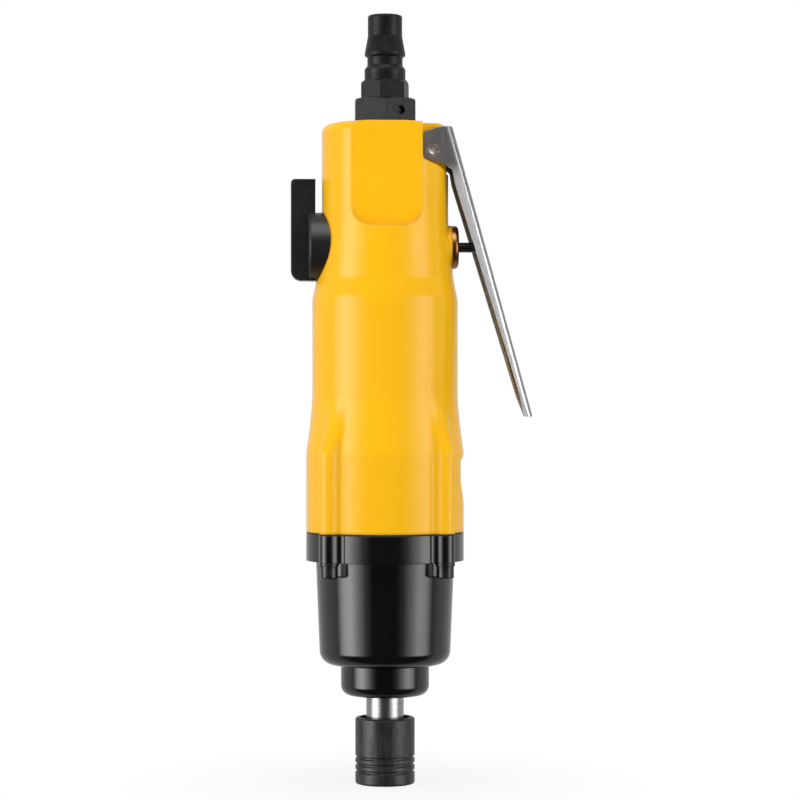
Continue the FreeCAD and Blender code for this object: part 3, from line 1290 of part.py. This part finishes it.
keep(less("AirPlug", joined("plug_solid", [plug_turned, plug_hex]), plug_hole), "air_plug")

# Everything is worked out, checked and written
doc.recompute()
for thing in doc.Objects:
    if "Invalid" in thing.State or "Error" in thing.State:
        raise RuntimeError(f"{thing.Name} failed: {thing.State}")
for piece in kept:
    if piece.Shape.isNull() or not piece.Shape.isValid():
        raise RuntimeError(f"{piece.Label} has no valid shape")
os.makedirs("parts", exist_ok=True)
for piece in kept:
    piece.Shape.exportStep(f"parts/{piece.Label}.step")
    print(f"{piece.Label}: {len(piece.Shape.Solids)} solid(s), {piece.Shape.Volume:.0f} mm3")
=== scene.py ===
# %% [markdown]
# A straight air screwdriver, dressed for its picture. The sizes, the pieces and the way they move come
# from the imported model, which is loaded here once and never changed. Everything is in metres, the tool
# stands on its bit end with +Z up, the lever is on the +X side and the reverse knob on the -X side.

# %% Load the model
import math

import bmesh
import bpy
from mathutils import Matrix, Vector


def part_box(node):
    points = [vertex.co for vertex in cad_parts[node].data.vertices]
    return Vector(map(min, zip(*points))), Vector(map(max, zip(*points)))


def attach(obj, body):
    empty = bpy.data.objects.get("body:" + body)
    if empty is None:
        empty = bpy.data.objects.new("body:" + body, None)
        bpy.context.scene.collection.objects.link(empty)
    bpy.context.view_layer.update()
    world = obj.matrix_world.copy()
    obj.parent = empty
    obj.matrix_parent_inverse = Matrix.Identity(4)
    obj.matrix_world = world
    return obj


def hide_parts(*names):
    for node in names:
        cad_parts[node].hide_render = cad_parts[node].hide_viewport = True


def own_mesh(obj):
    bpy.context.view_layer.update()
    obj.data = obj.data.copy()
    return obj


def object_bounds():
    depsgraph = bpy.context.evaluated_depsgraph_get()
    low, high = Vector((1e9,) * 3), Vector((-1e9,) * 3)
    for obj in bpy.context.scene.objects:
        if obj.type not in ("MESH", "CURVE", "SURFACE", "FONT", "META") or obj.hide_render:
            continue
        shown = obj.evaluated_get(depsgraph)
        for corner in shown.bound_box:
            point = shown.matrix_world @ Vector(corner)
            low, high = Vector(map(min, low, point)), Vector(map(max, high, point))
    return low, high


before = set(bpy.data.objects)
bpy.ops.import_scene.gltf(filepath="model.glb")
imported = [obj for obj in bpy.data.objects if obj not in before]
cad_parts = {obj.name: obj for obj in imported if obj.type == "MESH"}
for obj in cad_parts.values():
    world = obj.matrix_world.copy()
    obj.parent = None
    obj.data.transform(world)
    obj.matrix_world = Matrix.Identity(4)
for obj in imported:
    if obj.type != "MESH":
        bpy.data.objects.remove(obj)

MM = 0.001
cad_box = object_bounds()
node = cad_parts
print("pieces from the model:", len(node))

# %% [markdown]
# The camera stands level with the middle of the tool and far away, so the picture is almost without
# perspective. The tool is turned a little, which is why the camera is a few degrees off its front. A long
# lens from far away keeps the barrel's sides parallel, where a short lens would make them lean.

# %% Camera
PHOTO_SIDE = 800
MM_PER_PIXEL = 0.32
AXIS_COLUMN = 385
FOOT_ROW = 783
DISTANCE = 0.86
TURNED = math.radians(2.5)

toward_camera = Vector((-math.sin(TURNED), -math.cos(TURNED), 0))
to_the_right = Vector((math.cos(TURNED), -math.sin(TURNED), 0))
middle = PHOTO_SIDE / 2
aim = to_the_right * ((middle - AXIS_COLUMN) * MM_PER_PIXEL * MM)
aim += Vector((0, 0, (FOOT_ROW - middle) * MM_PER_PIXEL * MM))

lens = bpy.data.cameras.new("camera")
lens.sensor_width = 36
lens.lens = lens.sensor_width * DISTANCE / (PHOTO_SIDE * MM_PER_PIXEL * MM)
lens.clip_end = 20
camera = bpy.data.objects.new("camera", lens)
camera.location = aim + toward_camera * DISTANCE
camera.rotation_euler = (-toward_camera).to_track_quat("-Z", "Y").to_euler()
bpy.context.scene.collection.objects.link(camera)
bpy.context.scene.camera = camera
bpy.context.scene.view_settings.view_transform = "Standard"
print("lens:", round(lens.lens, 1), "mm, camera at", [round(c, 3) for c in camera.location])

# %% [markdown]
# Shader nodes take several lines each when they are made, set and linked by hand. Two helpers do it in
# one, so that every surface below reads as a short recipe. The first makes any node; the second is the one
# that comes back most often, a value carried from one range to another.

# %% Helpers for shader nodes
def add_node(tree, kind, values=None, **settings):
    """One node with its settings; each value is a number, a tuple or another node's output."""
    made = tree.nodes.new(kind)
    for name, setting in settings.items():
        setattr(made, name, setting)
    for socket, value in (values or {}).items():
        if isinstance(value, bpy.types.NodeSocket):
            tree.links.new(value, made.inputs[socket])
        else:
            made.inputs[socket].default_value = value
    return made


def scaled(tree, value, low, high, new_low, new_high, smooth=False):
    """A value carried from one range to another and held inside it."""
    ranges = {"Value": value, "From Min": low, "From Max": high, "To Min": new_low, "To Max": new_high}
    kind = "SMOOTHSTEP" if smooth else "LINEAR"
    return add_node(tree, "ShaderNodeMapRange", ranges, interpolation_type=kind).outputs["Result"]


# %% [markdown]
# The floor is a pale sheet that runs out to plain white. Close to the tool it keeps the soft shadow that
# shows the tool stands on it; farther off it glows white for the camera, so no horizon is seen. Lamps
# bright enough to burn a real floor white would also bleach the yellow, which is why the white comes from
# what the camera sees and not from more light.

# %% What the floor is made of
FLOOR_TONE = 0.62
FLOOR_ROUGHNESS = 0.9
SHADOW_CORE = 0.01
SHADOW_REACH = 0.10
GLOW_AT_THE_TOOL = 0.86

floor_material = bpy.data.materials.new("pale_floor")
floor_material.use_nodes = True
tree = floor_material.node_tree
floor_shader = tree.nodes["Principled BSDF"]
floor_shader.inputs["Base Color"].default_value = (FLOOR_TONE, FLOOR_TONE, FLOOR_TONE, 1)
floor_shader.inputs["Roughness"].default_value = FLOOR_ROUGHNESS
place = add_node(tree, "ShaderNodeTexCoord")
away = add_node(tree, "ShaderNodeVectorMath", {0: place.outputs["Object"]}, operation="LENGTH")
glow_share = scaled(tree, away.outputs["Value"], SHADOW_CORE, SHADOW_REACH, GLOW_AT_THE_TOOL, 1.0,
                    smooth=True)
path = add_node(tree, "ShaderNodeLightPath")
seen = add_node(tree, "ShaderNodeMath", {0: path.outputs["Is Camera Ray"], 1: glow_share},
                operation="MULTIPLY")
glow = add_node(tree, "ShaderNodeEmission", {"Strength": 1.0})
blend = add_node(tree, "ShaderNodeMixShader", {0: seen.outputs[0], 1: floor_shader.outputs[0],
                                               2: glow.outputs[0]})
tree.links.new(blend.outputs[0], tree.nodes["Material Output"].inputs["Surface"])
print("floor: tone", FLOOR_TONE, "and white from", SHADOW_REACH, "m outwards")

# %% [markdown]
# The sheet itself is one flat face, a hair below the tool so that the two never lie in one plane. It stays
# out of the reflections: the streaks of the soft boxes then run down the whole hammer case, as they do on
# a tool hung up for its picture.

# %% Floor
FLOOR_HALF = 3.0
FLOOR_DROP = 0.2 * MM

floor_mesh = bpy.data.meshes.new("floor")
floor_corners = [(-FLOOR_HALF, -FLOOR_HALF, 0), (FLOOR_HALF, -FLOOR_HALF, 0),
                 (FLOOR_HALF, FLOOR_HALF, 0), (-FLOOR_HALF, FLOOR_HALF, 0)]
floor_mesh.from_pydata(floor_corners, [], [(0, 1, 2, 3)])
floor_mesh.materials.append(floor_material)
floor = bpy.data.objects.new("floor", floor_mesh)
floor.location.z = cad_box[0][2] - FLOOR_DROP
floor.visible_glossy = False
bpy.context.scene.collection.objects.link(floor)
print("floor:", 2 * FLOOR_HALF, "m wide")

# %% [markdown]
# The room behind the camera is dim, which leaves the middle of a glossy black casting deep black and the
# yellow full of colour. Behind the tool hangs the white backdrop. The camera sees it as plain white, and
# polished steel and paint mirror it too, as a pale rim where the round castings turn away. Overhead the
# room is a little lighter, as a studio ceiling is, so the tops of the pieces don't go dead. A picture of
# a studio wrapped round the scene could do all this, but three levels by direction are easier to adjust.

# %% Room
ROOM_LEVEL = 0.07
BACKDROP_LEVEL = 0.45
CEILING_LEVEL = 0.45
CEILING_FROM = 0.25
CEILING_FULL = 0.95
BACKDROP_FROM = -0.25
BACKDROP_FULL = 0.2

world = bpy.data.worlds.new("studio")
bpy.context.scene.world = world
world.use_nodes = True
tree = world.node_tree
place = add_node(tree, "ShaderNodeTexCoord")
heading = add_node(tree, "ShaderNodeSeparateXYZ", {0: place.outputs["Generated"]})
above = scaled(tree, heading.outputs["Z"], CEILING_FROM, CEILING_FULL, ROOM_LEVEL, CEILING_LEVEL,
               smooth=True)
behind = scaled(tree, heading.outputs["Y"], BACKDROP_FROM, BACKDROP_FULL, 0.0, BACKDROP_LEVEL,
                smooth=True)
level = add_node(tree, "ShaderNodeMath", {0: above, 1: behind}, operation="MAXIMUM")
room = tree.nodes["Background"]
tree.links.new(level.outputs[0], room.inputs["Strength"])
room.inputs["Color"].default_value = (1, 1, 1, 1)
print("room:", ROOM_LEVEL, "in front,", BACKDROP_LEVEL, "behind,", CEILING_LEVEL, "overhead")

# %% [markdown]
# The camera gets the white in full. What mirrors the backdrop gets its share of the white as well, so that
# steel and paint show the same background as the picture does.

# %% Who sees the white backdrop
white = add_node(tree, "ShaderNodeBackground", {"Color": (1, 1, 1, 1), "Strength": 1.0})
path = add_node(tree, "ShaderNodeLightPath")
mirrors = add_node(tree, "ShaderNodeMath", {0: path.outputs["Is Glossy Ray"],
                                            1: path.outputs["Is Transmission Ray"]}, operation="MAXIMUM")
mirrored = add_node(tree, "ShaderNodeMath", {0: mirrors.outputs[0], 1: behind}, operation="MULTIPLY")
seen = add_node(tree, "ShaderNodeMath", {0: path.outputs["Is Camera Ray"], 1: mirrored.outputs[0]},
                operation="MAXIMUM")
blend = add_node(tree, "ShaderNodeMixShader", {0: seen.outputs[0], 1: room.outputs[0], 2: white.outputs[0]})
tree.links.new(blend.outputs[0], tree.nodes["World Output"].inputs["Surface"])
print("backdrop: white for the camera, and mirrored where a surface faces it")

# %% [markdown]
# A glossy tool is mostly what it reflects. Two wide soft boxes stand at its sides, each with its lamp
# behind the outer half of the cloth, so that it fades towards the camera. Each draws a long streak down
# the barrel that is crisp on the outside and melts away towards the middle. An evenly lit box would draw a
# flat band with two hard edges instead. The cloth's brightness is a ramp across the sheet, from its edge
# near the camera to its far edge.

# %% Cloth of a side box
CLOTH = [(0.0, 0.0), (0.2, 0.08), (0.42, 0.5), (0.58, 1.0), (0.78, 0.8), (1.0, 0.1)]


def fade_cloth(lamp, bearing):
    """Makes a sheet lamp as bright across its width as the cloth is."""
    lamp.use_nodes = True
    tree = lamp.node_tree
    spot = add_node(tree, "ShaderNodeTexCoord")
    across = add_node(tree, "ShaderNodeSeparateXYZ", {0: spot.outputs["UV"]})
    # The sheet's own X runs away from the camera on the right and towards it on the left
    near, far = (0, 1) if bearing > 0 else (1, 0)
    outwards = scaled(tree, across.outputs["X"], near, far, 0.0, 1.0)
    ramp = add_node(tree, "ShaderNodeValToRGB", {"Fac": outwards})
    stops = ramp.color_ramp.elements
    while len(stops) < len(CLOTH):
        stops.new(0.5)
    for stop, (place_across, brightness) in zip(stops, CLOTH):
        stop.position = place_across
        stop.color = (brightness, brightness, brightness, 1)
    tree.links.new(ramp.outputs["Color"], tree.nodes["Emission"].inputs["Color"])
    print("cloth:", len(stops), "levels across the sheet at", bearing, "degrees")


# %% [markdown]
# A soft box is an area lamp: one lit sheet, as wide and tall as its cloth. Its place is given the way a
# photographer would say it, by how far round from the camera's line it stands and how high it hangs. The
# side boxes are no taller than the tool needs, since a taller sheet would light the front of the yellow
# and wash it out. A third box overhead fills the front without showing in the upright sides.

# %% Soft boxes
BOX_AWAY = 1.1
BOX_MIDDLE = 0.13
RIGHT_BEARING = 53.5
LEFT_BEARING = -54
SIDE_WIDTH = 1.4
SIDE_HEIGHT = 0.78


def soft_box(name, bearing, climb, width, height, brightness):
    """A lit sheet at a bearing and a climb from the camera's line, aimed at the tool's middle."""
    lamp = bpy.data.lights.new(name, "AREA")
    lamp.shape = "RECTANGLE"
    lamp.size = width
    lamp.size_y = height
    lamp.energy = brightness * math.pi * width * height
    box = bpy.data.objects.new(name, lamp)
    side, up = math.radians(bearing), math.radians(climb)
    away = (toward_camera * math.cos(side) + to_the_right * math.sin(side)) * math.cos(up)
    away += Vector((0, 0, math.sin(up)))
    box.location = Vector((0, 0, BOX_MIDDLE)) + away * BOX_AWAY
    box.rotation_euler = (-away).to_track_quat("-Z", "Y").to_euler()
    bpy.context.scene.collection.objects.link(box)
    print("soft box:", name, "power", round(lamp.energy, 1), "W")
    return lamp


right_box = soft_box("soft_box_right", RIGHT_BEARING, 0, SIDE_WIDTH, SIDE_HEIGHT, brightness=5.1)
fade_cloth(right_box, RIGHT_BEARING)
left_box = soft_box("soft_box_left", LEFT_BEARING, 0, SIDE_WIDTH, SIDE_HEIGHT, brightness=7.4)
fade_cloth(left_box, LEFT_BEARING)
soft_box("overhead", bearing=0, climb=62, width=1.0, height=0.8, brightness=2.9)

# %% [markdown]
# Every finish is one recipe. Real surfaces are never one flat colour: paint has a fine orange peel and
# faint clouding, blacked steel is mottled, turned parts carry rings from the lathe and sheet carries lines
# along its rolling direction. Each finish mixes two near tones by a noise, lets the gloss wander a little,
# and lays a fine relief over normals that are softened at the edges. Painted pictures of metal would need
# the pieces unfolded first; noises that run through the whole space need nothing and have no seams.

# %% One surface finish
CLOUD_RANGE = (0.35, 0.65)
GRAIN_RANGE = (0.3, 0.7)


def mixed(tree, share, first, second):
    """Two colours mixed by a share."""
    made = add_node(tree, "ShaderNodeMix", data_type="RGBA")
    for socket, value in (("Factor", share), ("A", first), ("B", second)):
        if isinstance(value, bpy.types.NodeSocket):
            tree.links.new(value, made.inputs[socket])
        else:
            made.inputs[socket].default_value = (*value, 1)
    return made.outputs["Result"]


def finish(name, tones, rough, grain, relief, metal=0.0, shine=0.5, stretch=(1, 1, 1), edge=0.25, cloud=60.0,
           depth=0.02):
    """A material that clouds between two tones, with gloss and relief that vary by a finer grain.

    Grain and cloud are repeats to the metre; edge and depth are millimetres.
    """
    material = bpy.data.materials.new(name)
    material.use_nodes = True
    tree = material.node_tree
    shader = tree.nodes["Principled BSDF"]
    place = add_node(tree, "ShaderNodeTexCoord")
    mapping = add_node(tree, "ShaderNodeMapping", {"Vector": place.outputs["Object"], "Scale": stretch})
    clouds = add_node(tree, "ShaderNodeTexNoise", {"Vector": mapping.outputs[0], "Scale": cloud,
                                                   "Detail": 4.0})
    share = scaled(tree, clouds.outputs["Fac"], *CLOUD_RANGE, 0.0, 1.0)
    tree.links.new(mixed(tree, share, *tones), shader.inputs["Base Color"])
    grains = add_node(tree, "ShaderNodeTexNoise", {"Vector": mapping.outputs[0], "Scale": grain,
                                                   "Detail": 3.0})
    gloss = scaled(tree, grains.outputs["Fac"], *GRAIN_RANGE, *rough)
    tree.links.new(gloss, shader.inputs["Roughness"])
    softened = add_node(tree, "ShaderNodeBevel", {"Radius": edge * MM}, samples=4)
    bump = add_node(tree, "ShaderNodeBump", {"Strength": relief, "Distance": depth * MM,
                                             "Height": grains.outputs["Fac"],
                                             "Normal": softened.outputs[0]})
    tree.links.new(bump.outputs[0], shader.inputs["Normal"])
    shader.inputs["Metallic"].default_value = metal
    shader.inputs["Specular IOR Level"].default_value = shine
    print("finish:", name)
    return material


def dress(material, *names):
    """Gives a finish to pieces of the model."""
    for name in names:
        slots = node[name].data.materials
        slots.clear()
        slots.append(material)
    print(material.name, "on", len(names), "pieces")


# %% [markdown]
# The housing is a die casting with a thick gloss enamel: warm yellow, a little deeper where it lies
# thicker. Enamel flows before it sets, so it rounds every edge over more than a millimetre. That rounding
# is laid on as softened normals, which keeps the casting's own shape and catches the light as paint does.

# %% Yellow enamel
yellow_enamel = finish("yellow_enamel", tones=((0.92, 0.485, 0.009), (0.90, 0.465, 0.008)),
                       rough=(0.15, 0.21), grain=700, relief=0.12, shine=0.23, edge=1.4, cloud=22,
                       depth=0.012)
dress(yellow_enamel, "motor_housing")

# %% [markdown]
# The hammer case wears the same kind of paint in black, in a thinner coat. Its tone is far darker than it
# seems: what the eye takes for the colour of gloss black is nearly all reflection.

# %% Black enamel
black_enamel = finish("black_enamel", tones=((0.0015, 0.0015, 0.0015), (0.003, 0.003, 0.003)),
                      rough=(0.12, 0.18), grain=700, relief=0.15, edge=0.5, cloud=40, depth=0.012)
dress(black_enamel, "hammer_case")

# %% [markdown]
# The air plug, the bushing that it screws into and the rings on the shaft are chemically blacked and stay
# matt. Blacking leaves the steel mottled, so the cloud is small, and it swallows most of the shine.

# %% Blacked steel
blacked = finish("blacked_steel", tones=((0.006, 0.006, 0.0065), (0.013, 0.013, 0.0135)),
                 rough=(0.32, 0.46), grain=1500, relief=0.35, metal=0.1, shine=0.2, cloud=300)
dress(blacked, "air_plug", "inlet_bushing", "snap_ring", "sleeve_stop_ring")

# %% [markdown]
# Bought fasteners are blacked too but come oiled, so they glint more than the plug does.

# %% Oiled fasteners
oiled = finish("oiled_black_steel", tones=((0.014, 0.014, 0.015), (0.026, 0.026, 0.027)),
               rough=(0.16, 0.28), grain=1500, relief=0.3, metal=0.5, cloud=500)
dress(oiled, "case_screws", "spring_washers", "knob_screw")

# %% [markdown]
# The bit sleeve is darkened steel that hands have worn. The wear runs up and down, the way the sleeve is
# pulled, so its noise is squeezed sideways into upright lines.

# %% Worn dark steel
worn_dark = finish("worn_dark_steel", tones=((0.021, 0.020, 0.020), (0.047, 0.045, 0.044)),
                   rough=(0.32, 0.50), grain=700, relief=0.40, metal=0.5, stretch=(5, 5, 1), cloud=130)
dress(worn_dark, "retaining_sleeve")

# %% [markdown]
# The output shaft is ground while it turns, which leaves fine rings around it. Squeezing the noise along
# the shaft draws them. The balls of bearings and locks are ground bright as well.

# %% Ground steel
ground_steel = finish("ground_steel", tones=((0.28, 0.275, 0.27), (0.36, 0.355, 0.35)),
                      rough=(0.22, 0.36), grain=1200, relief=0.25, metal=1.0, stretch=(1, 1, 18), cloud=120)
dress(ground_steel, "anvil", "bit_lock_balls", "detent_ball", "front_bearing_balls", "rear_bearing_balls")

# %% [markdown]
# The lever turns on a pin rolled from sheet: plain bright steel, a little warm in tone and finely dull.

# %% Rolled pin
pin_steel = finish("pin_steel", tones=((0.48, 0.44, 0.41), (0.62, 0.58, 0.55)), rough=(0.30, 0.45),
                   grain=1800, relief=0.4, metal=1.0, cloud=600)
dress(pin_steel, "lever_pivot_pin")

# %% [markdown]
# The working parts inside are left as the machines made them, with tool marks around their axis. Nobody
# sees them in the picture, but whoever opens the tool on screen does. The springs of the throttle and of
# the bit sleeve get the same finish here and are wound anew further down.

# %% Machined steel
machined = finish("machined_steel", tones=((0.34, 0.34, 0.35), (0.44, 0.44, 0.45)), rough=(0.25, 0.40),
                  grain=1100, relief=0.30, metal=1.0, stretch=(1, 1, 12), cloud=150)
dress(machined, "sleeve_washer", "sleeve_spring", "thrust_washer", "hammer_cage", "hammer_pins",
      "hammer_front", "hammer_rear", "cylinder_dowel_pin", "rotor", "front_bearing_outer",
      "front_bearing_inner", "rear_bearing_outer", "rear_bearing_inner", "throttle_spring",
      "reverse_valve_spool", "detent_spring")

# %% [markdown]
# The motor's cylinder and its end plates are fine cast iron: duller than steel, with a coarser skin.

# %% Cast iron
cast_iron = finish("cast_iron", tones=((0.16, 0.16, 0.165), (0.22, 0.22, 0.22)), rough=(0.45, 0.62),
                   grain=900, relief=0.5, metal=0.8, cloud=250)
dress(cast_iron, "front_end_plate", "rear_end_plate", "motor_cylinder")

# %% [markdown]
# The lever is bent from sheet. Its ears stay grey as the press left them, the narrow sides below them get a
# painted highlight, a bright tone that stands in for the soft boxes' reflection, and the bend along its edge
# is polished, which draws the dark line and the white line down its length. Three materials on three groups
# of faces could do this with hard borders. Here one material finds its places by itself: how much a spot
# faces sideways tells a side from the bend, and its height tells an ear from the side below it.

# %% Lever sheet
EAR_FOOT = 0.1925
PAINTED_HIGHLIGHT_TOP = 0.1985
BEND_FACES = 0.965
SIDE_FACES = 0.992

lever_sheet = finish("lever_sheet", tones=((0.30, 0.30, 0.305), (0.40, 0.40, 0.405)), rough=(0.36, 0.48),
                     grain=900, relief=0.30, metal=1.0, stretch=(9, 9, 1), cloud=110)
tree = lever_sheet.node_tree
shader = tree.nodes["Principled BSDF"]
place = add_node(tree, "ShaderNodeTexCoord")
spot = add_node(tree, "ShaderNodeSeparateXYZ", {0: place.outputs["Object"]})
facing = add_node(tree, "ShaderNodeSeparateXYZ", {0: place.outputs["Normal"]})
sideways = add_node(tree, "ShaderNodeMath", {0: facing.outputs["Y"]}, operation="ABSOLUTE")
flat_share = scaled(tree, sideways.outputs[0], BEND_FACES, SIDE_FACES, 0.0, 1.0, smooth=True)
low_share = scaled(tree, spot.outputs["Z"], EAR_FOOT, PAINTED_HIGHLIGHT_TOP, 1.0, 0.0, smooth=True)
# This share marks the sides below the ears, where a painted highlight goes.
painted_highlight = add_node(tree, "ShaderNodeMath", {0: flat_share, 1: low_share}, operation="MULTIPLY")
print("lever: ears above", PAINTED_HIGHLIGHT_TOP, "m, rubbed sides below", EAR_FOOT, "m")

# %% [markdown]
# With the places known, the sides below the ears get a bright tone, a painted highlight that stands in for
# the lamps' reflection, and a duller gloss, and the bend less than half of the sheet's roughness.

# %% Painted highlight on the sides, and polished bend
# The light tone is a painted highlight: it stands in for the soft boxes' reflection on the lever's sides.
PAINTED_HIGHLIGHT_TONE = (0.74, 0.74, 0.75)
BEND_POLISH = 0.45
SIDE_ROUGHNESS_ADDED = 0.20

sheet_tone = shader.inputs["Base Color"].links[0].from_socket
tree.links.new(mixed(tree, painted_highlight.outputs[0], sheet_tone, PAINTED_HIGHLIGHT_TONE), shader.inputs["Base Color"])
sheet_gloss = shader.inputs["Roughness"].links[0].from_socket
polish = scaled(tree, flat_share, 0.0, 1.0, BEND_POLISH, 1.0)
bend_gloss = add_node(tree, "ShaderNodeMath", {0: sheet_gloss, 1: polish}, operation="MULTIPLY")
lever_roughness = add_node(tree, "ShaderNodeMath", {0: painted_highlight.outputs[0], 1: SIDE_ROUGHNESS_ADDED, 2: bend_gloss.outputs[0]},
                   operation="MULTIPLY_ADD")
tree.links.new(lever_roughness.outputs[0], shader.inputs["Roughness"])
dress(lever_sheet, "throttle_lever")

# %% [markdown]
# The valve cap is plain turned brass gone brown in the air. It is turned about the X axis, so its rings
# come from a noise that is squeezed along X.

# %% Turned brass
turned_brass = finish("turned_brass", tones=((0.30, 0.14, 0.045), (0.40, 0.20, 0.07)), rough=(0.24, 0.38),
                      grain=900, relief=0.25, metal=1.0, stretch=(16, 1, 1), cloud=260)
dress(turned_brass, "throttle_valve_cap")

# %% [markdown]
# The shaft's bushing and the inlet's screen are sintered bronze: pressed powder, full of fine pores.

# %% Sintered bronze
sintered = finish("sintered_bronze", tones=((0.42, 0.27, 0.12), (0.52, 0.34, 0.16)), rough=(0.4, 0.55),
                  grain=2600, relief=0.6, metal=0.9, cloud=500)
dress(sintered, "anvil_bushing", "inlet_screen")

# %% [markdown]
# The seals are black rubber, with no metal and hardly any gloss.

# %% Seal rubber
seal_rubber = finish("seal_rubber", tones=((0.012, 0.012, 0.012), (0.022, 0.022, 0.022)),
                     rough=(0.55, 0.75), grain=1800, relief=0.5, cloud=300)
dress(seal_rubber, "nose_seal", "throttle_seat_seal", "spool_o_ring", "inlet_seal")

# %% [markdown]
# The reverse knob and the throttle's stem are moulded in black plastic. A mould leaves a fine satin grain
# and edges of half a millimetre.

# %% Black moulded plastic
black_moulded = finish("black_moulded", tones=((0.008, 0.008, 0.009), (0.012, 0.012, 0.013)),
                       rough=(0.28, 0.42), grain=1600, relief=0.3, edge=0.5, cloud=200)
dress(black_moulded, "reverse_knob", "throttle_stem")

# %% [markdown]
# The motor's vanes are sawn from cloth laminate, brown and layered. Layers are the same noise once more,
# squeezed hard in one direction.

# %% Vane laminate
laminate = finish("vane_laminate", tones=((0.10, 0.045, 0.02), (0.15, 0.07, 0.03)), rough=(0.45, 0.6),
                  grain=900, relief=0.4, stretch=(1, 1, 20), cloud=220)
dress(laminate, "rotor_vanes")

# %% [markdown]
# Between the two castings lies a thin gasket of dark fibre sheet, of which only the edge shows.

# %% Gasket sheet
gasket_sheet = finish("gasket_sheet", tones=((0.02, 0.02, 0.022), (0.035, 0.035, 0.035)),
                      rough=(0.7, 0.85), grain=1500, relief=0.5, cloud=400)
dress(gasket_sheet, "case_gasket")

# %% [markdown]
# Two springs are squeezed in use: the one behind the throttle's poppet and the one inside the bit sleeve.
# A wound spring could be a curve with a round section, but here it is a mesh. So the wire is swept: a ring
# of points goes round the coil, and the height stands still over the last half turn at either end, as on a
# real spring whose end turns are laid flat. Its place and size come from the spring in the model that it
# stands for.

# %% Wire of a spring
WIRE = 0.45 * MM
STEPS_A_TURN = 32
WIRE_SIDES = 10
FLAT_TURNS = 0.5


def wire_points(low, high, along, turns):
    """Rings of points along a coil that fills a box; along is 0 for the X axis and 2 for the Z axis."""
    across = 2 - along
    centre = (low + high) / 2
    coil_radius = (high[across] - low[across]) / 2 - WIRE
    first, last = low[along] + WIRE, high[along] - WIRE
    steps = round(turns * STEPS_A_TURN)
    points = []
    for step in range(steps + 1):
        turn = turns * step / steps
        climbed = (turn - FLAT_TURNS) / (turns - 2 * FLAT_TURNS)
        height = first + (last - first) * min(max(climbed, 0), 1)
        for side in range(WIRE_SIDES):
            around = 2 * math.pi * side / WIRE_SIDES
            out = coil_radius + WIRE * math.cos(around)
            point = Vector((0, 0, 0))
            point[along] = height + WIRE * math.sin(around)
            point[across] = centre[across] + out * math.cos(2 * math.pi * turn)
            point[1] = centre[1] + out * math.sin(2 * math.pi * turn)
            points.append(point)
    return points


def wire_faces(rings):
    """The skin between the rings of points, with a lid on either end."""
    faces = []
    for ring in range(rings - 1):
        for side in range(WIRE_SIDES):
            here = ring * WIRE_SIDES + side
            beside = ring * WIRE_SIDES + (side + 1) % WIRE_SIDES
            faces.append((here, beside, beside + WIRE_SIDES, here + WIRE_SIDES))
    faces.append(tuple(range(WIRE_SIDES)))
    faces.append(tuple(range((rings - 1) * WIRE_SIDES, rings * WIRE_SIDES)))
    return faces


# %% [markdown]
# The points and faces become one closed mesh. Its faces are turned outwards together, and the long ones are
# shaded smooth so that ten sides look round.

# %% A wound spring
def wound_spring(name, model_name, along, turns):
    """A spring of round wire in the place of the model's."""
    low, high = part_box(model_name)
    points = wire_points(low, high, along, turns)
    mesh = bpy.data.meshes.new(name)
    mesh.from_pydata(points, [], wire_faces(len(points) // WIRE_SIDES))
    shape = bmesh.new()
    shape.from_mesh(mesh)
    bmesh.ops.recalc_face_normals(shape, faces=shape.faces)
    shape.to_mesh(mesh)
    shape.free()
    mesh.polygons.foreach_set("use_smooth", [len(face.vertices) == 4 for face in mesh.polygons])
    mesh.materials.append(machined)
    spring = bpy.data.objects.new(name, mesh)
    bpy.context.scene.collection.objects.link(spring)
    print("spring:", name, "length", round((high[along] - low[along]) / MM, 2), "mm")
    return spring


# %% [markdown]
# Each wound spring takes the place of the model's spring: that one is hidden, and the new one hangs on the
# body that carries it, with a mesh of its own.


def shortens(spring, model_name, along, body):
    """Hides the model's spring and hangs the wound one on its body, with a mesh of its own."""
    direction = Vector((0, 0, 0))
    direction[along] = 1
    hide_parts(model_name)
    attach(spring, body)
    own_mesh(spring)


poppet_spring = wound_spring("poppet_spring", "throttle_spring", along=0, turns=3.5)
shortens(poppet_spring, "throttle_spring", 0, "root")
bit_sleeve_spring = wound_spring("bit_sleeve_spring", "sleeve_spring", along=2, turns=3)
shortens(bit_sleeve_spring, "sleeve_spring", 2, "anvil")

# %% [markdown]
# The tool's outside size has to be the same dressed as bare.

# %% Done
print("done")
